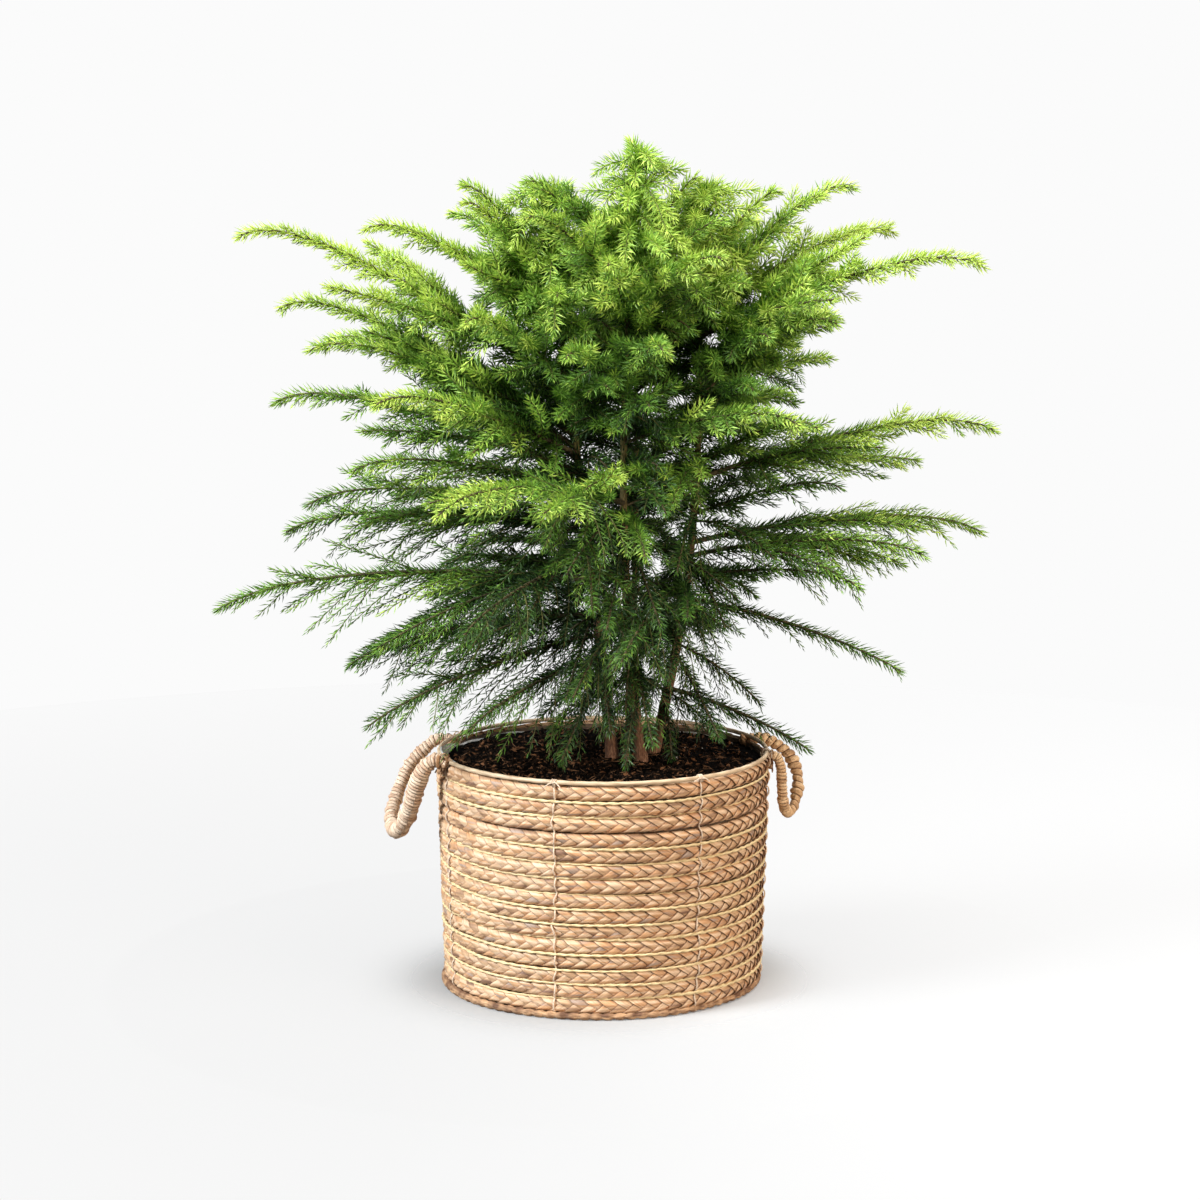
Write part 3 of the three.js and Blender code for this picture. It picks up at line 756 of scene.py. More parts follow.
def knot_lines(seam):
    """Two turns round the ring, and the two ends left loose."""
    local = np.random.default_rng(seam + 400)
    angle = math.radians(FIRST_SEAM + seam * 360 / SEAMS)
    turn = np.linspace(0, 2.4 * TURN, 50)
    radius = RIM_RADIUS + 3.4 * np.cos(turn)
    coil = rings(radius, angle + (turn / 4 - 2) / RIM_RADIUS, RIM_HEIGHT - 0.6 + 3.3 * np.sin(turn))
    lines = [Path(coil)]
    for side in (-1, 1):
        out, reach = local.uniform(1, 4), local.uniform(5, 10)
        loose = [
            (RIM_RADIUS + 3.4, 0, RIM_HEIGHT),
            (RIM_RADIUS + 4 + out / 2, side * reach * 0.4, RIM_HEIGHT + local.uniform(0, 1.5)),
            (RIM_RADIUS + 4 + out, side * reach, RIM_HEIGHT - local.uniform(0, 4)),
        ]
        turned = [(r, angle + across / RIM_RADIUS, z) for r, across, z in loose]
        lines.append(Path(smooth_line([rings(*map(np.atleast_1d, p))[0] for p in turned], 6)))
    return lines


THREAD_TINTS = [(0.3, (0.52, 0.38, 0.28)), (0.6, (0.80, 0.64, 0.49))]
thread = grained("thread", 0.7, THREAD_TINTS, detail=2.0, along=(3, 900, 1), relief=0.0003)

sewing = []
for seam in range(SEAMS):
    sewing.append(tube(seam_line(seam), THREAD_RADIUS, 6, 300))
    sewing += [tube(line, KNOT_RADIUS, 6, 50) for line in knot_lines(seam)]
strand_piece("sewing_thread", sewing, thread)

# %% The liner
LINER_WALL = 1.5
LINER_TOP = 213
LIP_FROM = 190  # height where the lip begins
LIP_TALL = 24
LIP_SHOWS_AT = math.radians(188)


def liner_radius(height):
    return wall_radius(height) - 7.6


def crumple(point):
    """Folds the lip up on the left and down elsewhere, and creases it."""
    angle = math.atan2(point.y, point.x)
    lip = max(0.0, point.z / MM - LIP_FROM) / LIP_TALL
    if lip <= 0:
        return point
    shown = math.exp(-((math.remainder(angle - LIP_SHOWS_AT, TURN) / 0.55) ** 2))
    drop = (1 - shown) * (8 + 2 * math.sin(5 * angle)) + 0.8 * math.sin(19 * angle) - 6 * shown
    out = 0.35 * math.sin(31 * angle + 1) + 0.3 * math.sin(12 * angle) + 2.5 * shown
    scale = 1 + out * lip / 145
    return Vector((point.x * scale, point.y * scale, point.z - drop * lip * MM))


LINER_TINTS = [(0.3, (0.33, 0.33, 0.31)), (0.7, (0.62, 0.62, 0.59))]
LINER_HEIGHTS = (100, LIP_FROM, 203, LINER_TOP)
liner = grained("liner", 0.32, LINER_TINTS, 60, 4.0, stretch=(1, 1, 0.5), relief=0.0015)
liner_outline = [(0.5, 7.4), (liner_radius(7), 7.4)]
liner_outline += [(liner_radius(level), level) for level in LINER_HEIGHTS]
liner_outline += [(liner_radius(level) - LINER_WALL, level) for level in LINER_HEIGHTS[::-1]]
liner_outline += [(liner_radius(9) - LINER_WALL, 8.9), (0.5, 8.9)]
spin_piece("liner_bag", liner_outline, liner, ["liner"], 144, crumple)

# %% [markdown]
# ## Soil
#
# Potting soil is dark and rough: a bed with lumps in it, and crumbs of bark, fibres and a few
# white grains lying on it. The bed is a disc rolled from a grid and raised by noise. The crumbs
# are far too many to model one at a time, so they are joined from arrays, eight faces each.

# %% The bed
SOIL_TOP = 208
SOIL_EDGE = 207
SOIL_LEVEL_RADIUS = 85
SOIL_FOOT = 9.4
SOIL_FOOT_RADIUS = 136.5


def soil_level(x, y):
    """Height of the soil at a point, lumps included."""
    radius = math.hypot(x, y)
    slope = min(1, max(0, (radius - SOIL_LEVEL_RADIUS) / 55))
    lumps = noise.fractal(Vector((x, y, 3)) * 0.035, 0.8, 2.1, 5) * 2.3
    crumbs = noise.fractal(Vector((x, y, 9)) * 0.16, 0.6, 2.0, 4) * 1.5
    return SOIL_TOP - (SOIL_TOP - SOIL_EDGE) * slope + lumps + crumbs


def soil_bed(around, along):
    angle = around * TURN
    top = np.clip(along / 0.8, 0, 1)
    side = np.clip((along - 0.8) / 0.1, 0, 1)
    under = np.clip((along - 0.9) / 0.1, 0, 1)
    edge = (liner_radius(SOIL_EDGE) - LINER_WALL - 0.4) * (1 - side) + side * SOIL_FOOT_RADIUS
    radius = edge * top * (1 - under)
    x, y = radius * np.cos(angle), radius * np.sin(angle)
    level = np.array([soil_level(a, b) for a, b in zip(x, y)])
    return np.stack([x, y, level * (1 - side) + SOIL_FOOT * side], 1)


SOIL_TINTS = [
    (0.42, (0.0006, 0.0003, 0.0002)),
    (0.56, (0.0020, 0.0010, 0.0005)),
    (0.68, (0.010, 0.005, 0.002)),
    (0.80, (0.050, 0.024, 0.011)),
]
soil = grained("soil", 0.95, SOIL_TINTS, 420, 6.0, 0.7, relief=0.0025, Specular_IOR_Level=0.05)
strand_piece("soil_bed", [Strand(soil_bed, 200, 150, 200)], soil, ["soil"])


# %% Meshes from arrays
def array_mesh(name, points, faces):
    """A mesh of triangles from arrays, points in millimetres."""
    mesh = bpy.data.meshes.new(name)
    mesh.vertices.add(len(points))
    mesh.vertices.foreach_set("co", (points * MM).astype(np.float32).ravel())
    mesh.loops.add(faces.size)
    mesh.loops.foreach_set("vertex_index", faces.astype(np.int32).ravel())
    mesh.polygons.add(len(faces))
    mesh.polygons.foreach_set("loop_start", np.arange(0, faces.size, 3, dtype=np.int32))
    mesh.update(calc_edges=True)
    return mesh


def repeated(shape_faces, corners, count):
    """The faces of one small shape, repeated for each copy of its corners."""
    return (np.arange(count)[:, None, None] * corners + np.array(shape_faces)).reshape(-1, 3)


# %% Crumbs, fibres and white grains
OCTAHEDRON = [
    (0, 2, 4), (2, 1, 4), (1, 3, 4), (3, 0, 4),
    (2, 0, 5), (1, 2, 5), (3, 1, 5), (0, 3, 5),
]  # fmt: skip


def rotated(first, second, angle):
    """Two coordinates of every corner, turned by one angle for each crumb."""
    cosine, sine = np.cos(angle)[:, None], np.sin(angle)[:, None]
    return first * cosine - second * sine, first * sine + second * cosine


def scatter_crumbs(name, count, smallest, largest, flatness, finish, seed, middle, spread):
    """Uneven eight-sided crumbs that lie on the soil."""
    local = np.random.default_rng(seed)
    radius = spread * np.sqrt(local.uniform(0, 1, count))
    angle = local.uniform(0, TURN, count)
    x, y = middle[0] + radius * np.cos(angle), middle[1] + radius * np.sin(angle)
    inside = np.hypot(x, y) < CRUMBS_WITHIN
    x, y, count = x[inside], y[inside], inside.sum()
    size = smallest + (largest - smallest) * local.uniform(0, 1, count) ** 2.5
    level = np.array([soil_level(a, b) for a, b in zip(x, y)]) + size * 0.15
    axes = np.array([(1, 0, 0), (-1, 0, 0), (0, 1, 0), (0, -1, 0), (0, 0, 1), (0, 0, -1)], float)
    corners = axes[None] * local.uniform(0.5, 1.2, (count, 6, 1)) * size[:, None, None] / 2
    corners *= (1, flatness, flatness)
    turn, tip = local.uniform(0, TURN, count), local.normal(0, 0.35, count)
    a, b, c = corners[..., 0], corners[..., 1], corners[..., 2]
    a, c = rotated(a, c, tip)
    a, b = rotated(a, b, turn)
    points = np.stack([a + x[:, None], b + y[:, None], c + level[:, None]], -1).reshape(-1, 3)
    mesh = array_mesh(name, points, repeated(OCTAHEDRON, 6, count))
    make_piece(name, mesh, finish, smooth=False)


CRUMBS_WITHIN = 138
CRUMBS = {  # how many, smallest, largest, flatness, finish, its grain's scale, dark and light
    "soil_crumbs": (5200, 1.2, 6.5, 0.7, "crumb", 90, (0.0015, 0.0008, 0.0004), (0.016, 0.008, 0.004)),
    "bark_chips": (1150, 1.5, 8.5, 0.45, "chip", 60, (0.035, 0.015, 0.007), (0.21, 0.095, 0.045)),
    "fibres": (700, 5, 16, 0.06, "fibre", 60, (0.07, 0.035, 0.018), (0.24, 0.13, 0.07)),
    "white_grains": (90, 0.8, 2.2, 0.8, "grain", 300, (0.5, 0.46, 0.42), (0.8, 0.78, 0.75)),
}
ALL_OVER = ((0, 0), 136)  # middle and spread
TO_ONE_SIDE = ((60, 30), 75)

for seed, (name, row) in enumerate(CRUMBS.items(), 1):
    *sizes, finish_name, scale, dark, light = row
    tints = [(0.35, dark), (0.65, light)]
    finish = grained(finish_name, 0.9, tints, scale, Specular_IOR_Level=0.1)
    lie = TO_ONE_SIDE if name == "white_grains" else ALL_OVER
    scatter_crumbs(name, *sizes, finish, seed, *lie)

# %% [markdown]
# ## Wrapped rope handles
#
# Each handle is a hank of leaf, wrapped round and round with more of it. Its middle line follows
# the model's solid and is held by a few points. The wrap is a relief: a rounded ridge that climbs
# as it goes round, each turn a little different. Part of the right handle is wound more finely,
# so the pitch may change on the way. The feet run on through the top braid and are knotted there,
# and a few ends of leaf are left loose.

# %% The handles' line
HANDLES = {  # from the foot at the back round to the one in front
    "left": [
        (-133, 60, 209), (-146, 62, 212), (-156, 60, 212), (-165, 58, 205), (-178, 55, 192),
        (-186, 50, 178), (-193, 40, 160), (-196, 22, 147), (-190, 0, 139), (-181, -22, 153),
        (-174, -38, 172), (-168, -46, 193), (-162, -51, 207), (-155, -54, 215), (-146, -56, 217),
        (-138, -56, 212),
    ],
    "right": [
        (129, 63, 209), (141, 66, 212), (155, 64, 211), (171, 62, 201), (181, 58, 185),
        (182, 51, 171), (179, 40, 156), (172, 26, 150), (167, 12, 162), (165, 5, 181),
        (164, 2, 197), (160, 0, 208), (153, -2, 210), (145, -2, 209),
    ],
}  # fmt: skip
ROPE_RADIUS = {  # at shares of the way along
    "left": [(0, 4.5), (0.08, 6.2), (0.4, 6.8), (0.55, 8.0), (0.85, 8.2), (0.95, 6.5), (1, 4.5)],
    "right": [(0, 4.5), (0.1, 5.8), (0.4, 6.0), (0.5, 5.4), (0.9, 5.2), (1, 4.2)],
}
WRAP_PITCH = {"left": (3.9, 3.3, 120), "right": (6.6, 3.4, 118)}  # first, then, and changed at
WRAP_RINGS = 11  # rings of the tube for each turn of the wrap


def turns_wound(run, pitch):
    """How many turns of the wrap there are up to a run along the rope."""
    first, then, change = pitch
    return run / first + np.maximum(0, run - change) * (1 / then - 1 / first)


def wrapped_rope(path, thick, pitch, seed):
    """A rope that is thinnest at its ends, with a ridge for every turn of the wrap."""
    local = np.random.default_rng(seed)
    turns = int(turns_wound(path.length, pitch))
    steps = turns * WRAP_RINGS
    each = local.normal(0, 1, turns + 3)
    thickness = np.interp(np.linspace(0, 1, 41), *zip(*thick))

    def radius(share, turn):
        run = (share * (steps - 2) + 1) / steps * path.length
        wound = turns_wound(run, pitch) + turn / TURN
        uneven = np.interp(wound, np.arange(len(each)) + 0.5, each)
        depth = np.interp(run, (pitch[2] - 20, pitch[2] + 20), (0.38 * pitch[0], 0.38 * pitch[1]))
        ridge = depth * np.abs(np.sin(math.pi * wound)) ** 0.4 * (1 + 0.14 * uneven)
        strands = 0.16 * np.sin(turn * 3 + wound * 23)
        size = np.interp(share, np.linspace(0, 1, 41), thickness)
        return size * (0.95 + 0.06 * uneven) - 0.92 * depth + ridge + strands

    return tube(path, radius, 20, steps)


def knot(middle, size, seed):
    """A tangle of leaf: a thick line that swings three ways at once."""
    local = np.random.default_rng(seed)
    t = np.linspace(0, TURN, 60)
    waves = [np.sin(speed * t + local.uniform(0, TURN)) for speed in (2, 3, 5)]
    line = middle + np.stack(waves, 1) * (size * 0.8, size, size * 0.8)
    return tube(Path(line), lambda share, turn: 1.5 + 0.5 * np.sin(turn * 2 + share * 9), 6, 120, seed)


def loose_end(root, seed):
    """A dry end of leaf that stands off and hangs."""
    local = np.random.default_rng(seed)
    out = unit(np.array([root[0], root[1], 0.0]))
    aside = np.array([-out[1], out[0], 0]) * local.uniform(-1, 1)
    reach = local.uniform(6, 15)
    points = [root, root + out * 4 + aside * reach * 0.4, root + out * 5 + aside * reach]
    points[1] = points[1] + (0, 0, local.uniform(-3, 3))
    points[2] = points[2] + (0, 0, -local.uniform(0.1, 1.2) * reach)
    return tube(Path(smooth_line(points, 6)), lambda share, turn: 1.1 - 0.5 * share, 6, 20, seed)


# %% Two handles
def rope_finish(name, tints, pitch):
    """Leaf whose grooves, which the strand's own map finds, are painted dark as shade."""
    rope = Finish(name, 0.65)
    fibre = rope.noise(rope.strand((9, 900, 1)), 1.0, 4.0, 0.65)
    patch = rope.noise(rope.strand((2, 150, 1)), 1.0, 2.0)
    around = rope.add("SeparateXYZ", {"Vector": rope.strand()}, output="X")
    run = rope.add("SeparateXYZ", {"Vector": rope.strand()}, output="Y")
    first, then, change = pitch
    further = rope.add("Math", {0: run - change * MM, 1: 0.0}, operation="MAXIMUM")
    wound = run * (1 / (first * MM)) + further * ((1 / then - 1 / first) / MM)
    wound = rope.add("Math", {0: around + wound + fibre * 0.16}, operation="FRACT")
    # Painted shade: the groove between turns of the wrap is darkened.
    groove = rope.ramp(wound, [(0, GROOVE_SHADE), (0.08, GROOVE_SHADE), (0.22, (1, 1, 1)), (0.93, (1, 1, 1))])
    shade = rope.ramp(fibre, [(0.34, (0.46, 0.36, 0.28)), (0.54, (1, 1, 1))])
    tinted = rope.blend(0.8, rope.ramp(patch, tints), shade, "MULTIPLY")
    rope.colour(rope.blend(0.9, tinted, groove, "MULTIPLY"))
    rope.bump(fibre, 0.0009)
    return rope


# Painted shade in the grooves of the wrap.
GROOVE_SHADE = (0.12, 0.06, 0.03)
# Partly the ropes' own colours and partly painted light: the left handle is painted paler and whiter,
# where the strong lamp falls, and the right one brighter in its shade.
ROPE_TINTS = {
    "left": [(0.35, (0.66, 0.43, 0.29)), (0.6, (0.93, 0.74, 0.56))],
    "right": [(0.3, (0.46, 0.26, 0.13)), (0.45, (0.76, 0.49, 0.27)), (0.6, (0.97, 0.70, 0.43))],
}
knots = []
for side, points in HANDLES.items():
    line = Path(smooth_line(points, 16))
    finish = rope_finish(f"rope_{side}", ROPE_TINTS[side], WRAP_PITCH[side])
    rope = wrapped_rope(line, ROPE_RADIUS[side], WRAP_PITCH[side], len(side))
    strand_piece(f"rope_handle_{side}", [rope], finish, [f"handle_{side}"])
    for foot, share in enumerate((0.03, 0.97)):
        seed = foot * 10 + len(side) * 20
        root, _ = line.at(share)
        knots += [knot(root + (0, 0, drop), size, seed + drop) for drop, size in ((0, 6), (-7, 4.5))]
        knots += [loose_end(root + (0, 0, 2 - 3 * end), seed + end) for end in range(1, 5)]
strand_piece("handle_knots", knots, worn_leaf)

# %% [markdown]
# ## Trunks
#
# Four slim trunks rise from the soil in one clump. Young bark is a thin skin with shallow flakes
# and rings of scars, brown below and green higher up. The relief is real: the rings of a
# tapering tube are pushed in and out by noise that is stretched along the trunk.

# %% The trunks' lines
TRUNKS = {
    "left": {"foot": (9, 0), "tip": (-43, 0, 640), "bow": 2, "radius": 5.6},
    "middle": {"foot": (35, -17), "tip": (27, -20, 672), "bow": -12, "radius": 5.2},
    "right": {"foot": (47, 22), "tip": (83, 22, 644), "bow": 18, "radius": 5.4},
    "back": {"foot": (22, -12), "tip": (30, 58, 576), "bow": 4, "radius": 3.6},
}
TRUNK_TIP = 1.6
ROOT_FLARE = 0.35
FLARE_HEIGHT = 0.05
SCAR_SPACING = 7.5


def outward(turn, rise=0.0):
    """A direction at an angle round the plant."""
    return np.array([math.cos(turn), math.sin(turn), rise])


def bark_relief(turn, width, run, octaves):
    """Noise laid round a limb, where run says how far along it."""
    spots = zip(np.cos(turn) * width, np.sin(turn) * width, run)
    return np.array([noise.fractal(Vector(spot), 0.7, 2.2, octaves) for spot in spots])


def trunk_point(trunk, share):
    foot = np.array([*trunk["foot"], SOIL_TOP], float)
    point = foot + (np.array(trunk["tip"], float) - foot) * share
    return point + np.array([trunk["bow"] * 4 * share * (1 - share), 0, 0])


def trunk_size(trunk, share):
    taper = trunk["radius"] + (TRUNK_TIP - trunk["radius"]) * share
    return taper * (1 + np.clip(1 - share / FLARE_HEIGHT, 0, 1) * ROOT_FLARE)


def trunk_tube(trunk, seed):
    path = Path([trunk_point(trunk, share) for share in np.linspace(-0.01, 1, 60)])

    def radius(share, turn):
        run = share * path.length
        relief = bark_relief(turn, 1.3, run * 0.09 + seed * 9, 4)
        scars = np.abs(np.sin(run / SCAR_SPACING + 0.7 * np.sin(turn))) ** 8
        return trunk_size(trunk, share) * (1 + 0.13 * relief - 0.05 * scars)

    return tube(path, radius, 18, 240, seed)


# %% Bark
OLD_BARK = [(0.3, (0.05, 0.022, 0.012)), (0.5, (0.17, 0.075, 0.038)), (0.7, (0.34, 0.19, 0.11))]
GREEN_BARK = [(0.3, (0.05, 0.06, 0.015)), (0.7, (0.20, 0.21, 0.05))]
bark = Finish("bark", 0.85)
flakes = bark.noise(bark.where((1, 1, 0.25)), 700, 5.0, 0.65)
patches = bark.noise(bark.where((1, 1, 0.5)), 90, 2.0)
height = bark.add("SeparateXYZ", {"Vector": bark.add("TexCoord", output="Object")}, output="Z")
young = bark.add("MapRange", {"Value": height + patches * 0.1, "From Min": 0.36, "From Max": 0.62})
bark.colour(bark.blend(young, bark.ramp(flakes, OLD_BARK), bark.ramp(flakes, GREEN_BARK)))
bark.bump(flakes, 0.0012)
trunk_names = [f"trunk_{side}" for side in TRUNKS]
trunk_strands = [trunk_tube(trunk, seed) for seed, trunk in enumerate(TRUNKS.values())]
strand_piece("trunks", trunk_strands, bark, trunk_names)

# %% [markdown]
# ## Boughs
#
# The boughs are worked out from the same table as the solids they replace: where each joins its
# trunk, which way it goes, how far it reaches and how high its tip ends. It sets off steeply,
# arches over, and comes down a little before the tip, all in one cubic curve. In the model only
# the longest boughs have a bare limb; here each one runs from the middle of its trunk to its tip.

# %% The boughs' table
BOUGHS = {  # height of the join, azimuth in degrees, reach, height of the tip
    "left": [
        (612, 184, 172, 692), (548, 180, 297, 684), (556, 238, 165, 618), (505, 172, 272, 617),
        (494, 156, 255, 580), (470, 168, 288, 528), (488, 215, 215, 545), (416, 176, 276, 414),
        (372, 187, 341, 352), (392, 238, 205, 352), (340, 200, 234, 309), (322, 210, 236, 260),
        (300, 232, 190, 262), (600, 108, 205, 676), (350, 132, 240, 340),
    ],
    "middle": [
        (446, 237, 290, 466), (560, 282, 150, 596), (612, 305, 140, 672), (636, 225, 130, 706),
        (436, 276, 165, 420),
    ],
    "right": [
        (632, 2, 143, 727), (612, 20, 195, 682), (592, 338, 268, 662), (566, 318, 160, 612),
        (545, 52, 220, 594), (462, 358, 272, 507), (476, 310, 160, 522), (404, 3, 268, 411),
        (392, 343, 220, 400), (352, 350, 200, 290), (372, 252, 200, 326), (268, 335, 140, 222),
    ],
    "back": [
        (540, 88, 200, 606), (486, 128, 225, 534), (470, 50, 235, 518), (400, 92, 255, 408),
        (318, 68, 200, 300),
    ],
}  # fmt: skip
LESSER_BOUGHS = {
    "left": [
        (510, 186, 239, 584), (430, 194, 255, 450), (452, 206, 225, 484), (628, 205, 90, 716),
        (584, 268, 120, 640), (520, 284, 130, 560), (640, 150, 110, 700), (420, 300, 110, 400),
        (372, 285, 120, 330), (345, 258, 130, 286), (290, 250, 110, 225), (655, 200, 85, 730),
        (480, 120, 170, 500), (430, 96, 150, 420), (380, 142, 180, 370), (335, 104, 140, 300),
        (415, 272, 130, 365), (455, 255, 120, 420),
    ],
    "middle": [
        (604, 262, 128, 668), (540, 250, 150, 590), (478, 288, 118, 452), (640, 340, 90, 700),
        (520, 280, 125, 545), (400, 262, 120, 350), (350, 248, 130, 290), (310, 280, 110, 245),
        (268, 262, 60, 216), (500, 318, 203, 531), (655, 190, 90, 728), (655, 30, 90, 722),
        (630, 100, 110, 700), (655, 352, 60, 738), (665, 185, 95, 734),
        (440, 248, 135, 400), (420, 285, 120, 352),
    ],
    "right": [
        (540, 350, 118, 601), (430, 340, 140, 460), (372, 330, 176, 376), (600, 268, 118, 640),
        (330, 232, 118, 290), (650, 12, 80, 722), (520, 290, 130, 556), (640, 60, 120, 690),
        (468, 236, 190, 468), (482, 258, 130, 452), (430, 262, 130, 396), (390, 284, 120, 344),
        (350, 262, 120, 296), (300, 290, 110, 242), (560, 300, 120, 600), (258, 275, 50, 212),
        (330, 232, 115, 305), (500, 80, 170, 520), (440, 62, 180, 440), (380, 92, 160, 360),
        (340, 78, 150, 300), (655, 178, 62, 730),
    ],
    "back": [
        (560, 60, 150, 640), (556, 120, 150, 630), (430, 70, 190, 440), (430, 118, 190, 450),
        (360, 110, 180, 350), (360, 50, 180, 350), (510, 150, 180, 540), (450, 88, 190, 455),
        (390, 150, 190, 385), (335, 132, 165, 305), (330, 96, 160, 298), (500, 28, 170, 520),
    ],
}  # fmt: skip
MAIN_REACH = 260
BOUGH_THICKNESS = 0.0095
BOUGH_THINNEST = 2.4
LESSER_THICKNESS = 1.7
INNER_THICKNESS = 1.3
ARCH = 0.22
RISE_AT = 0.33
SHOULDER_AT = 0.84
DROOP = 0.11
BOUGH_TIP = 0.9


def bough_line(trunk, row):
    join, azimuth, reach, tip = row
    share = (join - SOIL_TOP) / (trunk["tip"][2] - SOIL_TOP)
    root = trunk_point(trunk, share)
    away = outward(math.radians(azimuth))
    slope = (tip - join) / reach + ARCH
    handles = [
        (0, join),
        (RISE_AT, join + reach * RISE_AT * slope),
        (SHOULDER_AT, tip + reach * DROOP),
        (1, tip),
    ]
    a, b, c, d = (root * (1, 1, 0) + away * reach * run + (0, 0, rise) for run, rise in handles)
    t = np.linspace(0, 1, 41)[:, None]
    line = a * (1 - t) ** 3 + b * 3 * t * (1 - t) ** 2 + c * 3 * t**2 * (1 - t) + d * t**3
    return Path(line)


def bough_tube(path, thick, around, steps, seed):
    def radius(share, turn):
        size = thick + (BOUGH_TIP - thick) * share**0.7
        relief = bark_relief(turn, 1, share * path.length * 0.16 + seed * 5, 3)
        return size * (1 + 0.14 * relief)

    return tube(path, radius, around, steps, seed)


# %% [markdown]
# The first table has the longest bough of each tier, and the second the lesser ones beside it.
# A long bough forks low down, and its side limbs spread beside it like fingers. Between the tiers
# each trunk also bears short boughs all round, in golden-angle order, which fill the middle of
# the crown.

# %% All boughs in one mesh
FORKS_FROM = 170  # a bough that reaches this far forks, unless it is one of the lowest
INNER_FROM = 286  # height of the lowest short bough
INNER_STEPS = (24, 11)  # from one to the next, low down and high up
INNER_REACH = (66, 128)
CROWN_MIDDLE = (22, 4)
CROWN_REACH = 240


def fade(value, low, high):
    share = min(1.0, max(0.0, (value - low) / (high - low)))
    return share * share * (3 - 2 * share)


class Bough:
    """A limb with its line, its thickness, how long its twigs are and how bright its needles."""

    def __init__(self, name, path, thick, twig_reach, bonus=0.0, fine=True):
        self.name = name
        self.path = path
        self.twig_reach = twig_reach
        self.bonus = bonus
        self.fine = fine
        sizes = (8, 60) if fine else (5, 24)
        self.tube = bough_tube(path, thick, *sizes, len(boughs))


def curved(root, heading, bend, length):
    t = np.linspace(0, 1, 15)[:, None]
    return Path(root + length * (heading * t + bend * t**2))


def fork_off(bough, reach):
    """Two side limbs of a long bough."""
    for side in (-1, 1):
        share = dice.uniform(0.08, 0.28)
        root, along = bough.path.at(share)
        across = unit(np.cross((0, 0, 1), along)) * side
        spread = math.radians(dice.uniform(15, 30))
        tilt = (0, 0, dice.normal(-0.06, 0.16))
        heading = unit(along * math.cos(spread) + across * math.sin(spread) + tilt)
        low = 1 - fade(root[2], 300, 560)
        bend = np.array([0, 0, -0.12 - 0.14 * low]) - across * 0.08
        length = reach * (1 - share) * dice.uniform(0.6, 0.84)
        path = curved(root, heading, bend, length)
        boughs.append(Bough("fork", path, INNER_THICKNESS, length * 0.8, bough.bonus * 0.7, False))


# How much brighter a bough's needles are, darker where negative: partly painted light on boughs that
# face the front, and painted shade on lower-left ones.
BRIGHT = {
    "middle_1": 1.6, "right_21": 3.2, "right_22": 3.0, "left_7": 1.7, "right_7": 1.7,
    "left_9": 0.3, "right_6": 1.2, "middle_15": 1.8, "right_29": 1.2, "middle_5": 1.4,
    "right_8": 1.2, "right_9": 1.1, "left_10": -1.0, "left_11": -0.9, "left_12": -0.7,
    "left_17": -0.6, "left_32": 0.8, "left_33": 0.8, "middle_19": 1.0, "right_10": 0.5,
    "right_15": 0.8,
}  # fmt: skip
SLIM = {  # boughs whose twigs are short
    "middle_1": 0.6, "right_21": 0.8, "right_22": 0.9, "left_7": 0.8, "right_7": 0.7,
    "right_10": 0.35, "right_12": 0.45, "left_13": 0.7, "middle_14": 0.4, "right_28": 0.4,
    "middle_15": 0.6, "right_29": 0.6, "right_15": 0.4, "right_9": 0.7, "back_11": 0.4,
    "back_5": 0.6, "right_8": 0.75, "middle_5": 0.7, "right_2": 0.8, "right_5": 0.7,
    "right_18": 0.7, "right_6": 0.8, "right_14": 0.7, "right_1": 0.8, "right_31": 0.7,
    "back_17": 0.6, "back_8": 0.8,
}  # fmt: skip
boughs = []
limb_names = []
for side in TRUNKS:
    for number, row in enumerate(BOUGHS[side] + LESSER_BOUGHS[side], 1):
        tabled = number <= len(BOUGHS[side])
        name, reach = f"{side}_{number}", row[2]
        path = bough_line(TRUNKS[side], row)
        thick = max(reach * BOUGH_THICKNESS, BOUGH_THINNEST) if tabled else LESSER_THICKNESS
        bough = Bough(name, path, thick, reach * SLIM.get(name, 1), BRIGHT.get(name, 0), tabled)
        boughs.append(bough)
        if tabled and reach >= MAIN_REACH:
            limb_names.append("bough_" + name)
        if tabled and reach >= FORKS_FROM and SLIM.get(name, 1) > 0.5 and row[0] > 330:
            fork_off(bough, reach)

turn = 0.0
for side, trunk in TRUNKS.items():
    join = INNER_FROM
    while join < trunk["tip"][2] - 8:
        turn += GOLDEN_ANGLE
        root = trunk_point(trunk, (join - SOIL_TOP) / (trunk["tip"][2] - SOIL_TOP))
        high = fade(join, 300, 620)
        reach = dice.uniform(*INNER_REACH) * (0.8 + 0.2 * fade(join, 260, 400))
        heading = unit(np.array([math.cos(turn), math.sin(turn), -0.35 + 1.65 * high]))
        bend = np.array([0, 0, -0.28 - 0.35 * high])
        path = curved(root, heading, bend, reach)
        boughs.append(Bough("inner", path, INNER_THICKNESS, reach * 0.95, 0, False))
        join += INNER_STEPS[0] + (INNER_STEPS[1] - INNER_STEPS[0]) * high

BOUGH_TINTS = [(0.35, (0.030, 0.024, 0.010)), (0.55, (0.085, 0.066, 0.026)), (0.75, (0.16, 0.12, 0.05))]
bough_skin = grained("bough_skin", 0.75, BOUGH_TINTS, 260, relief=0.0008)
strand_piece("boughs", [bough.tube for bough in boughs], bough_skin, limb_names)
print("boughs:", len(boughs))

# %% [markdown]
# ## Twigs
#
# Along a bough the twigs stand in two ranks, one to each side, longest near the trunk and
# shortest at the tip. Their spread, sag and length follow the model's own rule, but they stand
# far closer than the model's sprays. Each twig is a short parabola: it leaves at an angle, bends
# forward along the bough, and hangs a little more the lower it grows. Every twig is a row in one
# set of arrays, because the needles that follow are far too many to make one at a time.

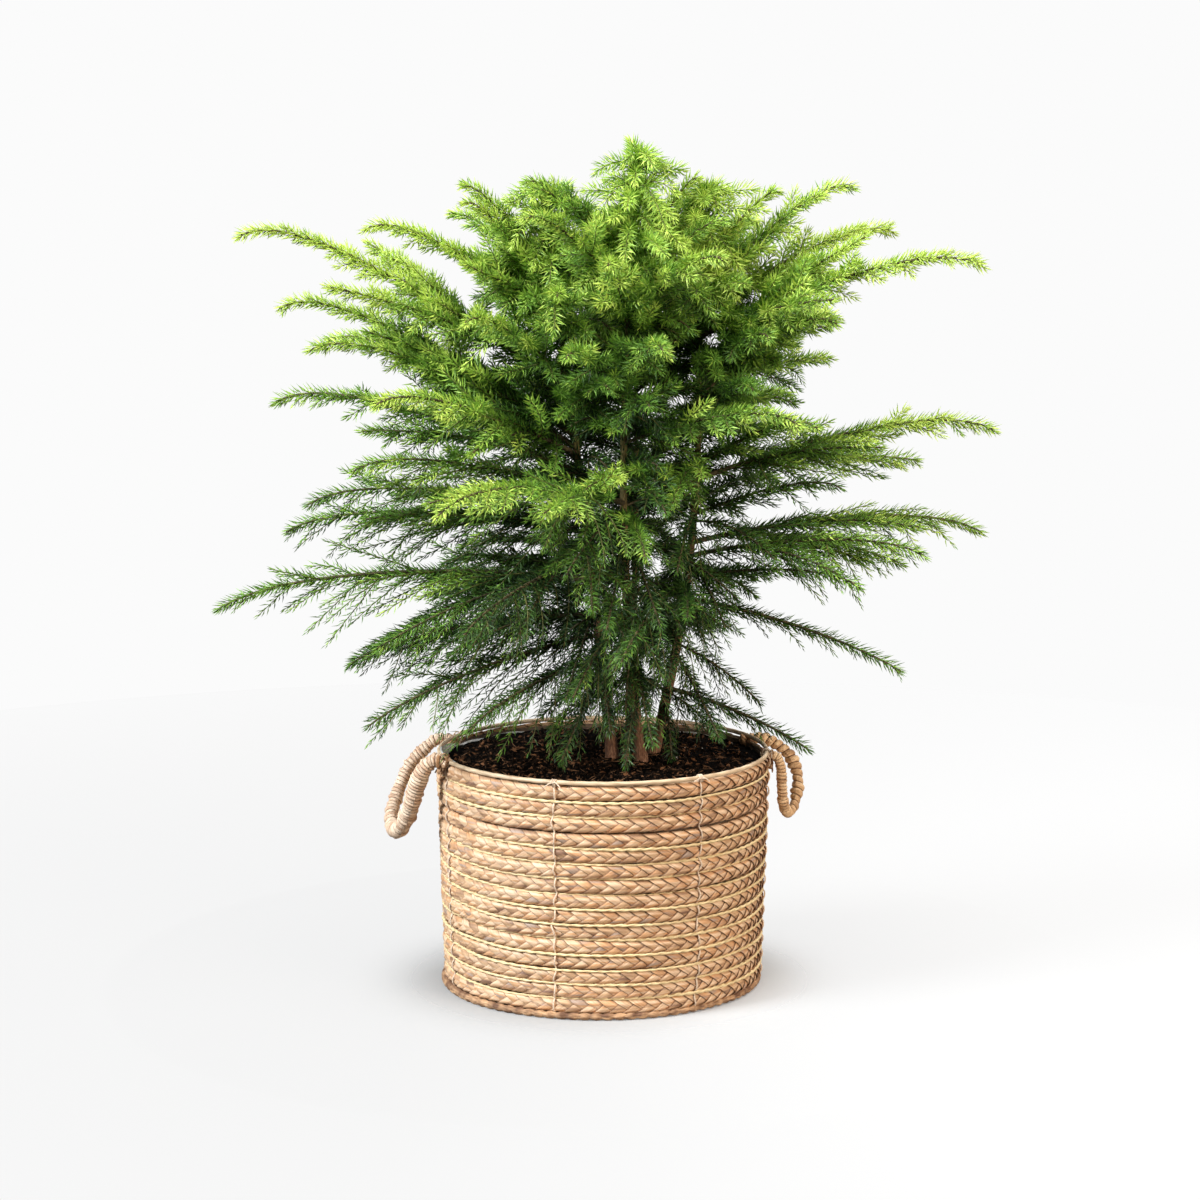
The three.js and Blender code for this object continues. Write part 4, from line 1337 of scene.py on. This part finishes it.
# %% Twigs as arrays
TWIG_SPACING = (19.5, 10.8)  # low in the crown and high up in it, and so for each pair below
TWIGS_FROM = 0.08
TWIGS_TO = 0.985
TWIG_SHARE = 0.42  # of the bough's reach
TWIG_LONGEST = (92, 45)
TWIG_FALL = (1.6, 1.25)  # how soon they shorten
TWIG_SPREAD = (39, 54)
TWIG_THICK = (0.86, 1.5)  # needles to a millimetre
SPRAY_SAG = 20
SAG_UNEVEN = 0.6
LOWEST_TIP = 222  # a twig that would reach the soil is left out
SPRAY_TWIST = 0.35
SPRAY_WAVES = 3


class Twigs:
    """Rows of twigs: root, heading, bend, length, tone and how thickly they are needled."""

    def __init__(self):
        self.rows = []

    def put(self, root, heading, bend, length, tone, thick):
        self.rows.append((*root, *unit(np.array(heading)), *bend, length, tone, thick))

    def arrays(self):
        table = np.array(self.rows)
        return table[:, :3], table[:, 3:6], table[:, 6:9], table[:, 9], table[:, 10], table[:, 11]


def tone_at(place, bonus=0.0):
    """Needles low down and inside are dark, and high up and outside bright: partly their age, old and
    new, and partly painted shade inside and low and painted light on top.
    """
    high = fade(place[2], 400, 700)
    out = min(1.0, math.hypot(place[0] - CROWN_MIDDLE[0], place[1] - CROWN_MIDDLE[1]) / CROWN_REACH)
    outer = out**1.3 * (0.66 + 0.34 * fade(place[2], 280, 520))
    return 0.3 + 3.0 * high**2 + 2.8 * outer + bonus * (0.5 + 0.5 * out)


def between(pair, share):
    return pair[0] + (pair[1] - pair[0]) * share


twigs = Twigs()
for bough in boughs:
    sag = math.tan(math.radians(SPRAY_SAG * (1 + dice.uniform(-SAG_UNEVEN, SAG_UNEVEN))))
    twist = SPRAY_TWIST * dice.uniform(-1, 1)
    spacing = between(TWIG_SPACING, fade(bough.path.points[20 if bough.fine else 7][2], 420, 600))
    count = max(4, int(bough.path.length * (TWIGS_TO - TWIGS_FROM) / spacing))
    for step in range(count):
        for side in (-1, 1):
            share = TWIGS_FROM + (TWIGS_TO - TWIGS_FROM) * (step + dice.uniform(0.1, 0.9)) / count
            root, along = bough.path.at(share)
            across = unit(np.cross((0, 0, 1), along)) * side
            lift = np.cross(along, across) * side
            low, high = 1 - fade(root[2], 300, 520), fade(root[2], 420, 600)
            spread = math.radians(between(TWIG_SPREAD, high) + dice.normal(0, 13))
            rise = side * math.sin(share * SPRAY_WAVES * math.pi) * twist - sag * (1 - 0.8 * high)
            rise += dice.normal(0, 0.5)
            heading = along * math.cos(spread) + (across + lift * rise) * math.sin(spread)
            wanted = min(bough.twig_reach * TWIG_SHARE, between(TWIG_LONGEST, high))
            narrowing = min(1.0, between(TWIG_FALL, high) * (1.02 - share)) ** 0.9
            length = wanted * narrowing * dice.uniform(0.68, 1.1)
            droop = -0.10 - 0.24 * low + dice.normal(0, 0.15)
            bend = along * dice.uniform(0.15, 0.36) - across * 0.12 + np.array([0, 0, droop])
            tip = root + (unit(heading) + bend) * length
            if tip[2] < LOWEST_TIP:
                continue
            tone = tone_at(tip, bough.bonus) + dice.normal(0, 0.75)
            twigs.put(root, heading, bend, max(length, 9), tone, between(TWIG_THICK, high))
print("twigs on boughs:", len(twigs.rows))

# %% [markdown]
# ## Leaders
#
# Each trunk carries on above its topmost boughs as a leader, which bends a little its own way.
# Tiers of short shoots are set round it, each tier turned on from the one below, and the shoots
# come up and curl over.

# %% Tiers of shoots on the leaders
LEADER_HEIGHT = 70
LEADER_TIERS = 9
LEADER_SHOOTS = 5
LEADER_SHOOT = 84
LEADER_TURN = 72
TIER_TURN = 35
LEADER_TONE = 4.7
LEADER_THICK = 1.9  # needles to a millimetre
LEADER_LEAN = {"left": (-0.2, -0.15), "middle": (0.1, -0.2), "right": (0.2, -0.2), "back": (0, 0.3)}
LEADER_LIFT = {"left": 1.25, "middle": 1.3, "right": 1.2, "back": 1.25}

leaders = []
local = np.random.default_rng(8)
for side, trunk in TRUNKS.items():
    top = trunk_point(trunk, 1.0)
    lean = np.array([*LEADER_LEAN[side], 0])
    share = np.linspace(-0.3, 1, 24)[:, None]
    tall = LEADER_HEIGHT * LEADER_LIFT[side]
    line = top + share * (0, 0, tall) + np.maximum(share, 0) ** 2 * lean * tall * 0.6
    path = Path(line)
    leaders.append(path)
    for tier in range(LEADER_TIERS):
        share = 0.94 * tier / (LEADER_TIERS - 1)
        root, along = path.at(share)
        for shoot in range(LEADER_SHOOTS):
            turn = math.radians(LEADER_TURN * shoot + TIER_TURN * tier + local.uniform(-14, 14))
            out = outward(turn)
            length = LEADER_SHOOT * (1.15 - 0.7 * share) * local.uniform(0.5, 1.15)
            heading = out * local.uniform(0.7, 1.1) + along * local.uniform(0.5, 1.3) + lean
            bend = np.array([0, 0, local.uniform(-1.25, -0.3)]) + out * 0.15 + lean * 0.4
            tone = LEADER_TONE + local.normal(0, 0.5) - 0.6 * (1 - share)
            twigs.put(root, heading, bend, length, tone, LEADER_THICK)
leader_tubes = []
for index, path in enumerate(leaders):
    slim = lambda share, turn: TRUNK_TIP * (1 - 0.4 * share)  # noqa: E731
    leader_tubes.append(tube(path, slim, 6, 24, index))
strand_piece("leaders", leader_tubes, bark)

# %% The twigs' mesh
TWIG_STATIONS = 5
TWIG_RADIUS = 0.75


def twig_points(root, heading, bend, length, t):
    """Points at share t of every twig, and the way it runs there."""
    points = root + length[:, None] * (heading * t[:, None] + bend * (t**2)[:, None])
    return points, unit(heading + 2 * bend * t[:, None])


def sides_of(along):
    side = unit(np.cross(along, np.array([0.05, 0.08, 1.0])))
    return side, np.cross(side, along)


def build_twigs(name, finish, nodes):
    root, heading, bend, length, _, _ = twigs.arrays()
    count = len(root)
    parts = []
    for station in range(TWIG_STATIONS):
        t = np.full(count, 0.97 * station / (TWIG_STATIONS - 1))
        middle, along = twig_points(root, heading, bend, length, t)
        side, lift = sides_of(along)
        size = (TWIG_RADIUS * (0.7 + 0.006 * length) * (1 - 0.6 * t))[:, None]
        for corner in range(3):
            turn = corner * TURN / 3
            parts.append(middle + size * (math.cos(turn) * side + math.sin(turn) * lift))
    parts.append(twig_points(root, heading, bend, length, np.ones(count))[0])
    points = np.stack(parts, 1).reshape(-1, 3)
    shape = [(2, 1, 0)]
    for station in range(TWIG_STATIONS - 1):
        low, high = station * 3, station * 3 + 3
        for corner in range(3):
            after = (corner + 1) % 3
            shape.append((low + corner, low + after, high + after))
            shape.append((low + corner, high + after, high + corner))
    last = (TWIG_STATIONS - 1) * 3
    shape += [(last, last + 1, last + 3), (last + 1, last + 2, last + 3), (last + 2, last, last + 3)]
    mesh = array_mesh(name, points, repeated(shape, TWIG_STATIONS * 3 + 1, count))
    make_piece(name, mesh, finish, nodes)


TWIG_TINTS = [(0.35, (0.045, 0.065, 0.012)), (0.65, (0.15, 0.14, 0.035))]
twig_skin = grained("twig_skin", 0.6, TWIG_TINTS, 120)
foliage_names = [f"foliage_{side}_{n + 1}" for side, rows in BOUGHS.items() for n in range(len(rows))]
foliage_names += [f"foliage_{side}_top" for side in TRUNKS]
build_twigs("twigs", twig_skin, foliage_names)

# %% [markdown]
# ## Needles
#
# A needle is an awl about a centimetre long that curves in towards the tip of its twig. Four
# triangles are enough for it: a base, two corners where it is widest, and a tip. Because the
# widest part stands further out than the line from base to tip, the four triangles enclose a
# sliver of space and the needle is a closed, opaque solid. Successive needles go round the twig
# by the golden angle, and near the twig's end they are shorter and close up into a bud.

# %% Needles as arrays
NEEDLE_LENGTH = (10.2, 12.6)
NEEDLE_WIDTH = 1.32
NEEDLE_BELLY = 0.42
NEEDLE_OPEN = (52, 66)
NEEDLE_FLAT = (0.5, 0.85)  # 1 would be as many above and below as beside
NEEDLE_CURVE = 20


def needles_on(origin, along, turn, length, opening, flat, seed):
    """Four corners for each needle: base, left, right and tip."""
    local = np.random.default_rng(seed)
    side, lift = sides_of(along)
    out = unit(np.cos(turn)[:, None] * side + (flat * np.sin(turn))[:, None] * lift)
    wide = np.cross(along, out)
    first = np.radians(opening + local.normal(0, 7, len(turn)))
    second = first - np.radians(NEEDLE_CURVE)
    up = np.array([0, 0, 1.0]) * (0.10 + local.normal(0, 0.05, (len(turn), 1)))
    leave = np.cos(first)[:, None] * along + np.sin(first)[:, None] * out
    carry = np.cos(second)[:, None] * along + np.sin(second)[:, None] * out + up
    base = origin + out * 0.3
    belly = base + leave * (length * NEEDLE_BELLY)[:, None]
    tip = belly + carry * (length * (1 - NEEDLE_BELLY))[:, None]
    half = wide * (NEEDLE_WIDTH / 2 * np.sqrt(length / NEEDLE_LENGTH[0]))[:, None]
    return np.stack([base, belly - half, belly + half, tip], 1)


corner_sets, tones = [], []

root, heading, bend, length, tone, thick = twigs.arrays()
number = np.maximum(8, (length * thick).astype(int))
owner = np.repeat(np.arange(len(root)), number)
order = np.arange(number.sum()) - np.repeat(np.cumsum(number) - number, number)
t = (order + dice.uniform(0.2, 0.8, len(order))) / number[owner]
t = 0.04 + 0.96 * t
origin, along = twig_points(root[owner], heading[owner], bend[owner], length[owner], t)
bud = np.clip((length[owner] * (t - 1) + 9) / 9, 0, 1)
high = np.clip((origin[:, 2] - 420) / 180, 0, 1)
size = between(NEEDLE_LENGTH, high) * (1 - 0.42 * bud) * dice.uniform(0.82, 1.12, len(t))
size *= np.clip(0.72 + length[owner] / 120, 0.72, 1)
opening = between(NEEDLE_OPEN, high) * (1 - 0.62 * bud)
turn = order * GOLDEN_ANGLE + owner * 1.7
corner_sets.append(needles_on(origin, along, turn, size, opening, between(NEEDLE_FLAT, high), 21))
tones.append(tone[owner] + 1.2 * (t - 0.45) + dice.normal(0, 0.6, len(t)))


# %% Needles on the boughs, the leaders and the upper trunks
def needle_line(path, start, end, every, bonus, size, opening, seed):
    """Needles along a thicker stem, straight from its skin."""
    local = np.random.default_rng(seed)
    count = int(path.length * (end - start) * every)
    share = start + (end - start) * (np.arange(count) + local.uniform(0, 1, count)) / count
    origin, along, _, _ = path.frame(share)
    near_tip = np.clip((path.length * (share - 1) + 9) / 9, 0, 1)
    lengths = size * (1 - 0.35 * near_tip) * local.uniform(0.85, 1.15, count)
    turn = np.arange(count) * GOLDEN_ANGLE
    openings = opening * (1 - 0.6 * near_tip)
    corner_sets.append(needles_on(origin, along, turn, lengths, openings, np.ones(count), seed))
    placed = np.array([tone_at(place, bonus) for place in origin])
    tones.append(placed + 0.5 * share + local.normal(0, 0.5, count))


for index, bough in enumerate(boughs):
    needle_line(bough.path, 0.07, 1.0, 1.6, bough.bonus, 11.5, 58, 500 + index)
for index, path in enumerate(leaders):
    needle_line(path, 0.05, 1.0, 2.2, 0.8, 12, 52, 800 + index)
for index, trunk in enumerate(TRUNKS.values()):
    path = Path([trunk_point(trunk, share) for share in np.linspace(0, 1, 60)])
    needle_line(path, 0.6, 1.0, 1.1, 0.3, 12, 62, 900 + index)

# %% [markdown]
# Needle colour has a place: dark blue-green low down and inside, yellow-green at the tips on top.
# That is partly the needles' own colour, old and new, and partly painted shade deep in the crown
# and painted light on top and outside.
# So each needle has a tone, from where its twig grows and how far along it is, and the needles
# are dealt out to six finishes by that tone, the way one would sort leaves into baskets.

# %% Six tones
TONES = [
    ("deep", (0.011, 0.034, 0.008), (0.024, 0.062, 0.016)),
    ("dark", (0.034, 0.088, 0.014), (0.060, 0.140, 0.023)),
    ("mid", (0.072, 0.170, 0.020), (0.110, 0.240, 0.030)),
    ("fresh", (0.135, 0.275, 0.034), (0.200, 0.370, 0.050)),
    ("bright", (0.245, 0.420, 0.050), (0.350, 0.540, 0.080)),
    ("young", (0.420, 0.590, 0.085), (0.560, 0.720, 0.140)),
]
NEEDLE_FACES = [(0, 2, 1), (1, 2, 3), (0, 1, 3), (0, 3, 2)]
PIECE_NEEDLES = 45000

corners = np.concatenate(corner_sets)
tones = np.concatenate(tones)
tone_index = np.clip(np.floor(tones), 0, len(TONES) - 1).astype(int)
print("needles:", len(corners))
for index, (name, dark, light) in enumerate(TONES):
    shades = [(0.35, dark), (0.65, light)]
    finish = grained(f"needle_{name}", 0.45, shades, 260, 2.0, Specular_IOR_Level=0.3)
    chosen = corners[tone_index == index]
    for start in range(0, len(chosen), PIECE_NEEDLES):
        part = chosen[start : start + PIECE_NEEDLES]
        piece_name = f"needles_{name}_{start // PIECE_NEEDLES + 1}"
        mesh = array_mesh(piece_name, part.reshape(-1, 3), repeated(NEEDLE_FACES, 4, len(part)))
        make_piece(piece_name, mesh, finish, smooth=False)

# %% [markdown]
# ## Size
#
# The pieces must fill the model's space and no more, so both sizes are printed.

# %% Print the sizes
made_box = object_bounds()
sizes = {"model": [list(corner) for corner in model_box], "made": [list(corner) for corner in made_box]}
print(sizes)
